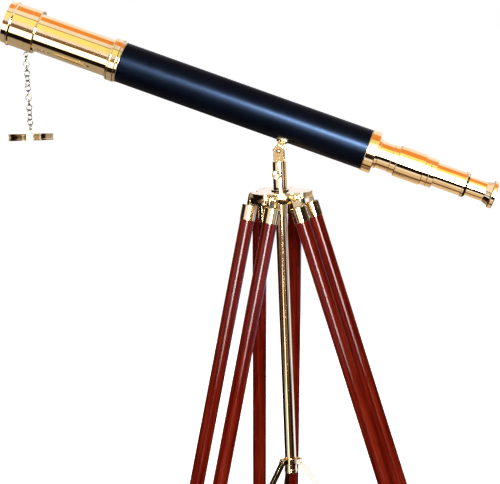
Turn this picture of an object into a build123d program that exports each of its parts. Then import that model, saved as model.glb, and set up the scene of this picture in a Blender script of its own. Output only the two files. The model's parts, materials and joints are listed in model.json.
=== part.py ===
from build123d import *
import os
from math import asin, cos, degrees, radians, sin, sqrt

os.makedirs("parts", exist_ok=True)

# Clearances
seat_gap = 0.02            # radial room of a pressed or screwed seat
running_fit = 0.05         # radial room of a shaft, a slide or a hinge pin
side_gap = 0.3             # room beside a piece that swings

# Telescope: lengths run along the tube, from the saddle towards both ends
tube_elevation = 21.32
leather_diameter = 76.2
leather_length = 483.9
leather_thickness = 1.6
saddle_to_leather_front = 330.9
main_tube_wall = 1.5
collar_flange_length = 5.6
collar_flange_rise = 0.8
collar_length = 15.8
collar_rise = 2.4
barrel_step = 0.75         # how much slimmer the barrel is than the main tube
barrel_wall = 1.5
barrel_shown = 145.8
dew_cap_length = 61.5
dew_cap_wall = 1.6
dew_cap_space = 3.4        # room between the barrel and the dew cap
dew_ring_length = 14.5
dew_ring_rise = 0.6
dew_bead_length = 6.0
dew_bead_rise = 1.1
lip_length = 9.6
lip_step = 0.9
lens_recess = 30.0         # front of the barrel behind the mouth of the dew cap

# Objective cell and its two lenses
cell_wall = 2.2
cell_length = 22.0
cell_flange = 2.0
cell_stop = 3.0
crown_edge = 3.0
crown_bulge = 3.0
flint_edge = 6.0
lens_gap = 0.3
retainer_width = 2.5

# Focusing end
end_ring_length = 18.5
end_ring_rise = 1.65
end_wall = 4.5
boss_length = 5.9
boss_rise = 2.2
sleeve_diameter = 51.6
sleeve_wall = 2.95
sleeve_shown = 24.0
sleeve_inside = 40.0
sleeve_bead_length = 11.0
sleeve_bead_rise = 0.8
grip_length = 51.6
grip_rise = 3.7
guide_length = 22.1
guide_rise = 1.7
guide_wall = 6.0
guide_screw_head = 4.2
guide_screw_rise = 1.6
guide_screw_turn = 21.0    # above the side of the tube
draw_shown = 55.2
draw_inside = 95.0
draw_wall = 1.5
draw_bead_length = 8.2
draw_bead_rise = 1.7
bush_length = 11.0
bush_wall = 2.75
erector_length = 26.0
erector_wall = 6.0
erector_lens_thickness = 5.0
eyepiece_shown = 34.0
eyepiece_inside = 36.0
eyepiece_wall = 1.5
field_lens_thickness = 6.0
cup_taper_length = 11.9
cup_taper_rise = 3.85
cup_flange_length = 8.2
cup_flange_rise = 3.5
cup_spigot = 8.0
cup_dish_depth = 5.0
eye_lens_diameter = 24.0
eye_lens_thickness = 6.0
eye_hole = 14.0

# Saddle, yoke and post
pivot_offset = 56.9        # tilt pivot below the tube's axis
pivot_height = 75.0        # tilt pivot above the tripod head
saddle_length = 20.0
saddle_thickness = 3.0
saddle_half_angle = 37.0
saddle_screw_angle = 24.0
saddle_screw_pitch = 9.0
saddle_screw_head = 5.0
saddle_screw_rise = 1.6
screw_shank = 2.6
tongue_thickness = 8.0
tongue_width = 14.0
tongue_end_radius = 9.4
yoke_width = 20.0
yoke_depth = 19.0
yoke_slot_floor = 11.0
tilt_bolt_diameter = 5.0
tilt_head_diameter = 8.6
tilt_head_length = 3.0
wing_hub_diameter = 11.0
wing_hub_length = 9.0
wing_span = 26.0
wing_thickness = 3.0
wing_height = 6.5
sleeve_height = 54.5
post_wall = 3.3
post_bottom = 6.0
flange_diameter = 34.0
flange_thickness = 2.5
thumb_height = 32.5
thumb_turn = 262.0
thumb_head = 18.0
thumb_thickness = 6.5
thumb_reach = 7.0
thumb_shank = 6.0

# Tripod head and column
head_thickness = 20.0
head_radius = 46.0
lug_width = 50.0
lug_reach = 60.0
lug_corner = 9.0
column_diameter = 22.0
column_wall = 1.5
column_length = 537.0
column_seat = 10.0         # column's top below the top of the head
spigot_wall = 1.45
end_cap_thickness = 3.0
end_cap_rise = 1.2
set_screw_head = 7.0
set_screw_rise = 2.6
set_screw_shank = 4.0
set_screw_drop = 10.0
strap_radius = 48.0
strap_width = 10.0
strap_thickness = 3.0
strap_drop = 38.0
strap_foot = 12.0
strap_hole = 4.0

# Legs
first_leg_turn = 104.14
leg_count = 3
leg_splay = 16.586
leg_reach = 1195.0         # hinge to floor, along the leg
hinge_radius = 42.0
hinge_drop = 9.0           # hinge below the top of the head
hinge_pin_diameter = 8.0
hinge_head_diameter = 13.0
hinge_head_rise = 4.5
ear_thickness = 8.0
ear_radius = 9.0
rod_diameter = 27.1
rod_spacing = 68.3
rod_length = 914.4
ferrule_wall = 1.0
ferrule_length = 28.7
ferrule_cap = 3.5
ferrule_drop = 17.0        # hinge to the top of the ferrule
bracket_length = 56.0
bracket_wall = 2.6
bracket_floor = 4.0
bracket_web = 16.0
lower_rod_diameter = 26.0
lower_rod_length = 446.0
foot_wall = 2.2
foot_tip = 24.0
foot_length = 66.0
foot_socket = 36.0
foot_drop = 54.1           # floor below the lower rod's end, along the leg
foot_rim = 5.0
foot_rim_rise = 1.2
knob_boss = 6.0
knob_boss_diameter = 14.0
knob_head = 22.0
knob_thickness = 10.0
knob_shank = 6.0
knob_stand = 3.0

# Spreader
hub_length = 26.0
hub_wall = 1.7
hub_pivot_radius = 19.0
hub_top_above_pivot = 5.0
arm_width = 9.0
arm_thickness = 8.0
arm_pin_diameter = 4.0
cheek_thickness = 3.0
cheek_radius = 5.0
arm_pivot_inset = 30.0     # arm pivot inside the leg's line
arm_pivot_rise = 2.9       # arm pivot above the top of the leg's bracket
arm_eye_width = 15.0
arm_slot_room = 2.4        # play across the slotted end
arm_slot_travel = 14.5     # play along the slotted end
arm_eye_rim = 2.6

# Chain and dust cap
link_count = 15
link_length = 12.9
link_width = 12.4
link_wire = 1.7
link_room = 0.3
chain_twist = 180.0        # extra turn shared over the whole chain
eyelet_radius = 4.0
eyelet_wire = 1.6
eyelet_stem = 2.0
eyelet_stem_diameter = 2.6
eyelet_inset = 3.6         # behind the front of the dew cap's ring
dust_cap_height = 13.0
dust_cap_wall = 2.0
dust_cap_roof = 2.2
dust_cap_room = 0.4
dust_cap_lean = 6.1        # away from level, as it hangs

stand = (Align.CENTER, Align.CENTER, Align.MIN)


def rod(diameter, start, end):
    return Pos(0, 0, start) * Cylinder(diameter / 2, end - start, align=stand)


def pipe(outer, inner, start, end):
    return rod(outer, start, end) - rod(inner, start, end)


def turned(*outline):
    points = [(radius, 0, height) for radius, height in outline]
    return revolve(make_face(Polyline(*points, close=True)), Axis.Z)


def cross_pin(diameter, start, end):
    return Rot(-90, 0, 0) * rod(diameter, start, end)


def block(x0, x1, y0, y1, z0, z1):
    middle = Pos((x0 + x1) / 2, (y0 + y1) / 2, (z0 + z1) / 2)
    return middle * Box(x1 - x0, y1 - y0, z1 - z0)


def domed(diameter, rise):
    ball = (diameter * diameter / 4 + rise * rise) / (2 * rise)
    return Pos(0, 0, rise - ball) * Sphere(ball) & rod(diameter, 0, rise)


def dome_height(diameter, rise, radius):
    ball = (diameter * diameter / 4 + rise * rise) / (2 * rise)
    return sqrt(ball * ball - radius * radius) - ball + rise


def lens(diameter, edge, front_bulge, rear_bulge, rear):
    glass = rod(diameter, rear, rear + edge)
    glass += Pos(0, 0, rear + edge) * domed(diameter, front_bulge)
    if rear_bulge:
        glass += Pos(0, 0, rear) * Rot(180, 0, 0) * domed(diameter, rear_bulge)
    return glass


# Stations along the tube, positive towards the objective
u_leather_front = saddle_to_leather_front
u_leather_rear = u_leather_front - leather_length
u_flange_front = u_leather_front + collar_flange_length
u_collar_front = u_flange_front + collar_length
u_dew_rear = u_collar_front + barrel_shown
u_dew_front = u_dew_rear + dew_cap_length
u_barrel_front = u_dew_front - lens_recess
u_ring_rear = u_leather_rear - end_ring_length
u_boss_rear = u_ring_rear - boss_length
u_bead_front = u_boss_rear - sleeve_shown
u_grip_front = u_bead_front - sleeve_bead_length
u_grip_rear = u_grip_front - grip_length
u_guide_rear = u_grip_rear - guide_length
u_draw_rear = u_guide_rear - draw_shown
u_draw_bead_rear = u_draw_rear - draw_bead_length
u_eyepiece_rear = u_draw_bead_rear - eyepiece_shown
u_taper_rear = u_eyepiece_rear - cup_taper_length
u_cup_rear = u_taper_rear - cup_flange_length

# Diameters that follow from what they fit
main_diameter = leather_diameter - 2 * leather_thickness
main_bore = main_diameter - 2 * main_tube_wall
barrel_diameter = main_diameter - 2 * barrel_step
barrel_bore = barrel_diameter - 2 * barrel_wall
dew_bore = barrel_diameter + 2 * dew_cap_space
dew_diameter = dew_bore + 2 * dew_cap_wall
lip_diameter = dew_diameter - 2 * lip_step
cell_diameter = barrel_bore - 2 * seat_gap
lens_diameter = cell_diameter - 2 * cell_wall
draw_diameter = sleeve_diameter - 2 * sleeve_wall - 2 * running_fit
draw_bore = draw_diameter - 2 * draw_wall
eyepiece_diameter = draw_bore - 2 * bush_wall - 2 * running_fit
eyepiece_bore = eyepiece_diameter - 2 * eyepiece_wall
stem_diameter = column_diameter - 2 * spigot_wall - 2 * running_fit
post_bore = stem_diameter + 2 * running_fit
post_diameter = post_bore + 2 * post_wall

# Heights above the floor
hinge_height = leg_reach * cos(radians(leg_splay))
head_top = hinge_height + hinge_drop
head_bottom = head_top - head_thickness
pivot_z = head_top + pivot_height

# Stations along a leg, below its hinge
rod_top = -ferrule_drop - ferrule_cap
rod_bottom = rod_top - rod_length
bracket_bottom = rod_bottom - bracket_floor
bracket_top = bracket_bottom + bracket_length
arm_pivot_reach = -bracket_top - arm_pivot_rise
lower_bottom = foot_drop - leg_reach
lower_top = lower_bottom + lower_rod_length

# Frame of the tube: X up from the tube, Y across it, Z towards the objective
tube_up = Vector(sin(radians(tube_elevation)), 0, cos(radians(tube_elevation)))
tube_forward = Vector(-cos(radians(tube_elevation)), 0, sin(radians(tube_elevation)))
tube_origin = Vector(0, 0, pivot_z) + tube_up * pivot_offset
tube_frame = Plane(tube_origin, x_dir=tube_up, z_dir=tube_forward).location

nodes = {}


def keep(name, *solids):
    nodes[name] = list(solids)


def keep_on_tube(name, *solids):
    keep(name, *[solid.moved(tube_frame) for solid in solids])


def side_screw(head, rise, shank, depth):
    return domed(head, rise) + rod(shank, -depth, rise / 2)


# Saddle screws: the same places drill the leather and the main tube
saddle_inside = leather_diameter / 2 + seat_gap
saddle_outside = saddle_inside + saddle_thickness
screw_places = []
for side in (-1, 1):
    for end in (-1, 1):
        turn = Rot(0, 0, 180 + side * saddle_screw_angle)
        seat = Pos(saddle_outside, 0, end * saddle_screw_pitch / 2)
        screw_places.append(turn * seat * Rot(0, 90, 0))
screw_depth = saddle_outside - main_bore / 2 - seat_gap


def drilled(solid):
    for place in screw_places:
        solid -= place * rod(screw_shank + 2 * running_fit, -2 * screw_depth, screw_depth)
    return solid


# Main tube with its leather
main_rear = u_ring_rear + end_wall
keep_on_tube("leather_wrap",
             drilled(pipe(leather_diameter, main_diameter + 2 * seat_gap, u_leather_rear, u_leather_front)))
keep_on_tube("main_tube", drilled(pipe(main_diameter, main_bore, main_rear, u_flange_front)))

# Collar that joins the barrel to the main tube
keep_on_tube("front_collar", turned(
    (main_diameter / 2 + seat_gap, u_leather_front),
    (leather_diameter / 2 + collar_flange_rise, u_leather_front),
    (leather_diameter / 2 + collar_flange_rise, u_flange_front),
    (leather_diameter / 2 + collar_rise, u_flange_front),
    (leather_diameter / 2 + collar_rise, u_collar_front),
    (barrel_diameter / 2 + seat_gap, u_collar_front),
    (barrel_diameter / 2 + seat_gap, u_flange_front),
    (main_diameter / 2 + seat_gap, u_flange_front)))
keep_on_tube("objective_barrel", pipe(barrel_diameter, barrel_bore, u_flange_front, u_barrel_front))

# Objective cell: a flanged cup in the mouth of the barrel, flint behind crown, held by a ring
cell_rear = u_barrel_front - cell_length
flint_rear = cell_rear + cell_stop
crown_rear = flint_rear + flint_edge + lens_gap
cell_front = u_barrel_front + cell_flange
keep_on_tube("objective_cell", turned(
    (lens_diameter / 2 - retainer_width, cell_rear),
    (cell_diameter / 2, cell_rear),
    (cell_diameter / 2, u_barrel_front),
    (barrel_diameter / 2, u_barrel_front),
    (barrel_diameter / 2, cell_front),
    (lens_diameter / 2, cell_front),
    (lens_diameter / 2, flint_rear),
    (lens_diameter / 2 - retainer_width, flint_rear)))
glass_diameter = lens_diameter - 2 * seat_gap
retainer_bore = lens_diameter - 2 * retainer_width
retainer_rear = crown_rear + crown_edge + seat_gap
retainer_rear += dome_height(glass_diameter, crown_bulge, retainer_bore / 2)
hollow = lens(glass_diameter, crown_edge, crown_bulge, crown_bulge, crown_rear - lens_gap)
keep_on_tube("crown_lens", lens(glass_diameter, crown_edge, crown_bulge, crown_bulge, crown_rear))
keep_on_tube("flint_lens", rod(glass_diameter, flint_rear, flint_rear + flint_edge) - hollow)
keep_on_tube("lens_retainer", pipe(glass_diameter, retainer_bore, retainer_rear, cell_front))

# Dew cap: slides on the barrel on its rear ring, its lip takes the dust cap
u_lip_rear = u_dew_front - lip_length
u_dew_ring_front = u_dew_rear + dew_ring_length
u_dew_eyelet = u_dew_ring_front - eyelet_inset
dew_ring_radius = dew_diameter / 2 + dew_ring_rise
dew_bead_radius = dew_diameter / 2 + dew_bead_rise
eyelet_place = Pos(-dew_ring_radius, 0, u_dew_eyelet) * Rot(0, -90, 0)
eyelet_depth = dew_ring_radius - barrel_diameter / 2 - dew_cap_space / 2
dew_cap = turned(
    (barrel_diameter / 2 + running_fit, u_dew_rear),
    (dew_ring_radius, u_dew_rear),
    (dew_ring_radius, u_dew_ring_front),
    (dew_diameter / 2, u_dew_ring_front),
    (dew_diameter / 2, u_lip_rear - dew_bead_length),
    (dew_bead_radius, u_lip_rear - dew_bead_length / 2),
    (dew_bead_radius, u_lip_rear),
    (lip_diameter / 2, u_lip_rear),
    (lip_diameter / 2, u_dew_front),
    (dew_bore / 2, u_dew_front),
    (dew_bore / 2, u_dew_ring_front),
    (barrel_diameter / 2 + running_fit, u_dew_ring_front))
dew_cap -= eyelet_place * rod(eyelet_stem_diameter + 2 * seat_gap, -eyelet_depth, eyelet_stem)
keep_on_tube("dew_cap", dew_cap)

# Rear end ring, focus sleeve, grip and guide ring
ring_radius = leather_diameter / 2 + end_ring_rise
sleeve_bore = sleeve_diameter - 2 * sleeve_wall
sleeve_rear = u_guide_rear + guide_wall
keep_on_tube("rear_end_ring", turned(
    (sleeve_diameter / 2 + seat_gap, u_boss_rear),
    (sleeve_diameter / 2 + boss_rise, u_boss_rear),
    (sleeve_diameter / 2 + boss_rise, u_ring_rear),
    (ring_radius, u_ring_rear),
    (ring_radius, u_leather_rear),
    (main_diameter / 2 + seat_gap, u_leather_rear),
    (main_diameter / 2 + seat_gap, main_rear),
    (sleeve_diameter / 2 + seat_gap, main_rear)))
keep_on_tube("focus_sleeve", turned(
    (sleeve_bore / 2, sleeve_rear),
    (sleeve_diameter / 2, sleeve_rear),
    (sleeve_diameter / 2, u_grip_front),
    (sleeve_diameter / 2 + sleeve_bead_rise, u_grip_front),
    (sleeve_diameter / 2 + sleeve_bead_rise, u_bead_front),
    (sleeve_diameter / 2, u_bead_front),
    (sleeve_diameter / 2, u_ring_rear + sleeve_inside),
    (sleeve_bore / 2, u_ring_rear + sleeve_inside)))
keep_on_tube("grip_sleeve",
             pipe(sleeve_diameter + 2 * grip_rise, sleeve_diameter + 2 * seat_gap, u_grip_rear, u_grip_front))
guide_radius = sleeve_diameter / 2 + guide_rise
guide_screw_depth = guide_radius - draw_diameter / 2 - side_gap
screw_turn = Rot(0, 0, -90 + guide_screw_turn)
guide_screw_place = screw_turn * Pos(guide_radius, 0, u_guide_rear + guide_wall / 2) * Rot(0, 90, 0)
guide_ring = turned(
    (draw_diameter / 2 + running_fit, u_guide_rear),
    (guide_radius, u_guide_rear),
    (guide_radius, u_grip_rear),
    (sleeve_diameter / 2 + seat_gap, u_grip_rear),
    (sleeve_diameter / 2 + seat_gap, sleeve_rear),
    (draw_diameter / 2 + running_fit, sleeve_rear))
guide_ring -= guide_screw_place * rod(screw_shank + 2 * seat_gap, -2 * guide_screw_depth, guide_screw_depth)
keep_on_tube("guide_ring", guide_ring)
guide_screw = side_screw(guide_screw_head, guide_screw_rise, screw_shank, guide_screw_depth)
keep_on_tube("guide_screw", guide_screw_place * guide_screw)

# Draw tube with its end bush, and the erecting lenses in its front end
draw_front = u_guide_rear + draw_inside
keep_on_tube("draw_tube", pipe(draw_diameter, draw_bore, u_draw_rear, draw_front))
keep_on_tube("draw_tube_bush", turned(
    (eyepiece_diameter / 2 + running_fit, u_draw_bead_rear),
    (draw_diameter / 2 - draw_bead_rise, u_draw_bead_rear),
    (draw_diameter / 2 + draw_bead_rise, u_draw_rear - draw_bead_length / 2),
    (draw_diameter / 2 + draw_bead_rise, u_draw_rear),
    (draw_bore / 2 - seat_gap, u_draw_rear),
    (draw_bore / 2 - seat_gap, u_draw_rear + bush_length),
    (eyepiece_diameter / 2 + running_fit, u_draw_rear + bush_length)))
erector_bore = draw_bore - 2 * erector_wall
erector_glass = erector_bore - 2 * seat_gap
keep_on_tube("erector_cell",
             pipe(draw_bore - 2 * seat_gap, erector_bore, draw_front - erector_length, draw_front))
erector_bulge = erector_lens_thickness / 3
erector_places = (draw_front - erector_lens_thickness, draw_front - erector_length + erector_lens_thickness)
keep_on_tube("erector_lenses", *[
    lens(erector_glass, erector_bulge, erector_bulge, erector_bulge, rear) for rear in erector_places])

# Eyepiece: barrel, cup and two lenses
eyepiece_front = u_draw_rear + eyepiece_inside
keep_on_tube("eyepiece_barrel", pipe(eyepiece_diameter, eyepiece_bore, u_eyepiece_rear, eyepiece_front))
cup_radius = eyepiece_diameter / 2 + cup_taper_rise
keep_on_tube("eyecup", turned(
    (eye_hole / 2, u_cup_rear + cup_dish_depth),
    (cup_radius, u_cup_rear),
    (cup_radius + cup_flange_rise, u_cup_rear),
    (cup_radius + cup_flange_rise, u_taper_rear),
    (cup_radius, u_taper_rear),
    (eyepiece_diameter / 2, u_eyepiece_rear),
    (eyepiece_bore / 2 - seat_gap, u_eyepiece_rear),
    (eyepiece_bore / 2 - seat_gap, u_eyepiece_rear + cup_spigot),
    (eye_lens_diameter / 2 + seat_gap, u_eyepiece_rear + cup_spigot),
    (eye_lens_diameter / 2 + seat_gap, u_taper_rear),
    (eye_hole / 2, u_taper_rear)))
eye_half = eye_lens_thickness / 2
field_half = field_lens_thickness / 2
field_rear = eyepiece_front - field_lens_thickness
keep_on_tube("eyepiece_lenses",
             lens(eye_lens_diameter, eye_half, eye_half, 0, u_taper_rear),
             lens(eyepiece_bore - 2 * seat_gap, field_half, field_half, 0, field_rear))

# Saddle: a curved plate under the tube with a tongue to the tilt pivot
wedge_reach = 2 * saddle_outside
wedge_x = -wedge_reach * cos(radians(saddle_half_angle))
wedge_y = wedge_reach * sin(radians(saddle_half_angle))
wedge_face = make_face(Polyline((0, 0), (wedge_x, wedge_y), (wedge_x, -wedge_y), close=True))
wedge = extrude(wedge_face, saddle_length / 2, both=True)
saddle = pipe(2 * saddle_outside, 2 * saddle_inside, -saddle_length / 2, saddle_length / 2) & wedge
tongue_half = tongue_thickness / 2
tongue = block(-pivot_offset, -saddle_inside, -tongue_half, tongue_half, -tongue_width / 2, tongue_width / 2)
tongue += Pos(-pivot_offset, 0, 0) * cross_pin(2 * tongue_end_radius, -tongue_half, tongue_half)
tongue -= rod(2 * saddle_inside, -saddle_length, saddle_length)
bolt_hole = tilt_bolt_diameter + 2 * running_fit
tongue -= Pos(-pivot_offset, 0, 0) * cross_pin(bolt_hole, -tongue_thickness, tongue_thickness)
keep_on_tube("saddle", drilled(saddle + tongue))
saddle_screw = side_screw(saddle_screw_head, saddle_screw_rise, screw_shank, screw_depth)
keep_on_tube("saddle_screws", *[place * saddle_screw for place in screw_places])

# Yoke: a square bar, forked at the top, whose stem turns in the post sleeve
post_top = head_top + sleeve_height
yoke_base = post_top + side_gap
yoke_floor = pivot_z - yoke_slot_floor
yoke = block(-yoke_width / 2, yoke_width / 2, -yoke_depth / 2, yoke_depth / 2, yoke_base, pivot_z)
yoke += Pos(0, 0, pivot_z) * cross_pin(yoke_width, -yoke_depth / 2, yoke_depth / 2)
yoke += rod(stem_diameter, head_top + post_bottom, yoke_base)
slot_half = tongue_half + side_gap
yoke -= block(-yoke_width, yoke_width, -slot_half, slot_half, yoke_floor, pivot_z + yoke_width)
yoke -= Pos(0, 0, pivot_z) * cross_pin(tilt_bolt_diameter + 2 * seat_gap, -yoke_depth, yoke_depth)
keep("yoke", yoke)
tilt_axis = Pos(0, 0, pivot_z)
nut_start = yoke_depth / 2 + side_gap
nut_end = nut_start + wing_hub_length
tilt_bolt = cross_pin(tilt_bolt_diameter, -yoke_depth / 2 - tilt_head_length / 2, nut_end)
tilt_bolt += Pos(0, -yoke_depth / 2, 0) * Rot(90, 0, 0) * domed(tilt_head_diameter, tilt_head_length)
keep("tilt_bolt", tilt_axis * tilt_bolt)
wing_half = wing_thickness / 2
wing = block(-wing_span / 2, wing_span / 2, nut_end - wing_height, nut_end, -wing_half, wing_half)
wing_nut = cross_pin(wing_hub_diameter, nut_start, nut_end) + wing
wing_nut -= cross_pin(bolt_hole, 0, nut_start + 2 * wing_hub_length)
keep("tilt_wing_nut", tilt_axis * wing_nut)

# Post sleeve on the head, with its thumbscrew
thumb_frame = Rot(0, 0, thumb_turn) * Pos(0, 0, head_top + thumb_height) * Rot(0, 90, 0)
post = pipe(post_diameter, post_bore, head_top, post_top)
post += pipe(flange_diameter, post_bore, head_top, head_top + flange_thickness)
post += pipe(column_diameter - 2 * seat_gap, post_bore, head_top - column_seat, head_top)
post -= thumb_frame * rod(thumb_shank + 2 * running_fit, 0, post_diameter)
keep("post_sleeve", post)
thumb_start = post_diameter / 2 + thumb_reach
thumbscrew = rod(thumb_shank, stem_diameter / 2 + side_gap, thumb_start)
thumbscrew += rod(thumb_head, thumb_start, thumb_start + thumb_thickness)
keep("pan_thumbscrew", thumb_frame * thumbscrew)

# Legs in their own frame: hinge at the origin, rods along -Z, outwards +X
leg_turns = [first_leg_turn + index * 360 / leg_count for index in range(leg_count)]


def leg_frame(turn):
    return Rot(0, 0, turn) * Pos(hinge_radius, 0, hinge_height) * Rot(0, -leg_splay, 0)


ear_inside = lug_width / 2 + side_gap
ear_outside = ear_inside + ear_thickness
pin_reach = ear_outside + side_gap

# Tripod head: a disc with three round-ended lugs, slotted for the ferrules' ears
head = rod(2 * head_radius, head_bottom, head_top)
for turn in leg_turns:
    lug = block(0, lug_reach, -lug_width / 2, lug_width / 2, head_bottom, head_top)
    lug &= Rot(0, 0, 180) * rod(2 * lug_reach, head_bottom, head_top)
    corners = lug.edges().filter_by(Axis.Z).sort_by(Axis.X)[-2:]
    head += Rot(0, 0, turn) * fillet(corners, lug_corner)
slot_inner = hinge_radius - ear_radius - side_gap
for turn in leg_turns:
    for side in (-1, 1):
        edges = sorted((side * lug_width / 2, side * (ear_outside + side_gap)))
        slot = block(slot_inner, 2 * lug_reach, edges[0], edges[1], head_bottom, head_top)
        head -= Rot(0, 0, turn) * slot
    bore = cross_pin(hinge_pin_diameter + 2 * seat_gap, -lug_width, lug_width)
    head -= Rot(0, 0, turn) * Pos(hinge_radius, 0, hinge_height) * bore
head -= rod(column_diameter, head_bottom, head_top)
set_turn = first_leg_turn + 180
set_frame = Rot(0, 0, set_turn) * Pos(0, 0, head_top - set_screw_drop) * Rot(0, 90, 0)
set_hole = rod(set_screw_shank + 2 * seat_gap, 0, 2 * head_radius)
set_flat = head_radius - set_screw_rise / 2
head -= set_frame * rod(set_screw_head + 2 * side_gap, set_flat, 2 * head_radius)
head -= set_frame * set_hole
keep("tripod_head", head)
set_screw = Pos(0, 0, set_flat) * domed(set_screw_head, set_screw_rise)
set_screw += rod(set_screw_shank, column_diameter / 2 + seat_gap, set_flat + set_screw_rise / 2)
keep("column_set_screw", set_frame * set_screw)

# Hinge pins, one through each lug and its two ears
hinge_pin = cross_pin(hinge_pin_diameter, -pin_reach, pin_reach)
hinge_pin += Pos(0, pin_reach, 0) * Rot(-90, 0, 0) * domed(hinge_head_diameter, hinge_head_rise)
hinge_pin += Pos(0, -pin_reach, 0) * Rot(90, 0, 0) * domed(hinge_head_diameter, hinge_head_rise)
hinge_places = [Rot(0, 0, turn) * Pos(hinge_radius, 0, hinge_height) for turn in leg_turns]
keep("hinge_pins", *[place * hinge_pin for place in hinge_places])

# Eye straps that hang under the lugs
strap_x = strap_radius + strap_thickness / 2
strap_tip = head_bottom - strap_drop + strap_width / 2
strap_back = strap_x - strap_thickness
strap_half = strap_width / 2
strap = block(strap_back, strap_x, -strap_half, strap_half, strap_tip, head_bottom)
strap += block(strap_x - strap_foot, strap_x, -strap_half, strap_half,
               head_bottom - strap_thickness, head_bottom)
strap += Pos(0, 0, strap_tip) * Rot(0, 90, 0) * rod(strap_width, strap_back, strap_x)
strap -= Pos(0, 0, strap_tip) * Rot(0, 90, 0) * rod(strap_hole, 0, 2 * strap_radius)
keep("eye_straps", *[Rot(0, 0, turn) * strap for turn in leg_turns])

# Column and its end cap
column_top = head_top - column_seat
column_bottom = column_top - column_length
column_bore = column_diameter - 2 * column_wall
keep("column", pipe(column_diameter - 2 * seat_gap, column_bore, column_bottom, column_top))
end_cap = rod(column_diameter + 2 * end_cap_rise, column_bottom - end_cap_thickness, column_bottom)
end_cap += rod(column_bore - 2 * seat_gap, column_bottom, column_bottom + 2 * end_cap_thickness)
keep("column_end_cap", end_cap)

# Spreader hub, with a forked lug for each arm: it comes down to the end cap when the legs are open
hub_top = column_bottom + side_gap + hub_length
hub_pivot_z = hub_top - hub_top_above_pivot
hub_bore = column_diameter + 2 * running_fit
hub_diameter = hub_bore + 2 * hub_wall
hub = rod(hub_diameter, hub_top - hub_length, hub_top)
fork_half = arm_thickness / 2 + side_gap
for turn in leg_turns:
    for side in (-1, 1):
        edges = sorted((side * fork_half, side * (fork_half + cheek_thickness)))
        cheek = block(0, hub_pivot_radius, edges[0], edges[1],
                      hub_pivot_z - cheek_radius, hub_pivot_z + cheek_radius)
        cheek += Pos(hub_pivot_radius, 0, hub_pivot_z) * cross_pin(2 * cheek_radius, edges[0], edges[1])
        hub += Rot(0, 0, turn) * cheek
arm_pin_hole = arm_pin_diameter + 2 * seat_gap
for turn in leg_turns:
    hole = cross_pin(arm_pin_hole, -2 * cheek_radius, 2 * cheek_radius)
    hub -= Rot(0, 0, turn) * Pos(hub_pivot_radius, 0, hub_pivot_z) * hole
hub -= rod(hub_bore, hub_top - 2 * hub_length, hub_top + hub_length)
keep("spreader_hub", hub)
hub_pin_reach = fork_half + cheek_thickness
hub_pin = cross_pin(arm_pin_diameter, -hub_pin_reach, hub_pin_reach)
hub_pin_places = [Rot(0, 0, turn) * Pos(hub_pivot_radius, 0, hub_pivot_z) for turn in leg_turns]
keep("hub_pins", *[place * hub_pin for place in hub_pin_places])

# Spreader arms: hinged on the hub, slotted where they ride on the leg's pin
splay = radians(leg_splay)
arm_end_radius = hinge_radius + arm_pivot_reach * sin(splay) - arm_pivot_inset * cos(splay)
arm_end_z = hinge_height - arm_pivot_reach * cos(splay) - arm_pivot_inset * sin(splay)
arm_out = arm_end_radius - hub_pivot_radius
arm_down = hub_pivot_z - arm_end_z
arm_length = sqrt(arm_out * arm_out + arm_down * arm_down)
arm_angle = degrees(asin(arm_out / arm_length))
arm_half = arm_thickness / 2
arm_slot_width = arm_pin_diameter + 2 * arm_slot_room
arm_eye_low = -arm_length - arm_slot_room
arm_eye_high = -arm_length + arm_slot_travel
arm = block(-arm_width / 2, arm_width / 2, -arm_half, arm_half, arm_eye_high, 0)
arm += cross_pin(arm_width, -arm_half, arm_half)
slot_low = arm_eye_low - arm_pin_diameter / 2
slot_high = arm_eye_high + arm_pin_diameter / 2
arm += block(-arm_eye_width / 2, arm_eye_width / 2, -arm_half, arm_half,
             slot_low - arm_eye_rim, slot_high + 2 * arm_eye_rim)
arm -= block(-arm_slot_width / 2, arm_slot_width / 2, -arm_thickness, arm_thickness, slot_low, slot_high)
arm -= cross_pin(arm_pin_diameter + 2 * running_fit, -arm_thickness, arm_thickness)
for number, turn in enumerate(leg_turns, 1):
    place = Rot(0, 0, turn) * Pos(hub_pivot_radius, 0, hub_pivot_z) * Rot(0, -arm_angle, 0)
    keep(f"spreader_arm_{number}", place * arm)

# Ferrules: a cup on each rod, with an ear up to the hinge pin
ferrule_diameter = rod_diameter + 2 * seat_gap + 2 * ferrule_wall
rod_y = rod_spacing / 2
ferrules = []
for side in (-1, 1):
    cup = Pos(0, side * rod_y, 0) * rod(ferrule_diameter, -ferrule_drop - ferrule_length, -ferrule_drop)
    edges = sorted((side * ear_inside, side * ear_outside))
    ear = block(-ear_radius, ear_radius, edges[0], edges[1], rod_top, 0)
    ear += cross_pin(2 * ear_radius, edges[0], edges[1])
    cup += ear
    cup -= Pos(0, side * rod_y, 0) * rod(rod_diameter + 2 * seat_gap, rod_top - rod_length, rod_top)
    cup -= cross_pin(hinge_pin_diameter + 2 * running_fit, -2 * ear_outside, 2 * ear_outside)
    ferrules.append(cup)
leg_rods = [Pos(0, side * rod_y, 0) * rod(rod_diameter, rod_bottom, rod_top) for side in (-1, 1)]

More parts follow.
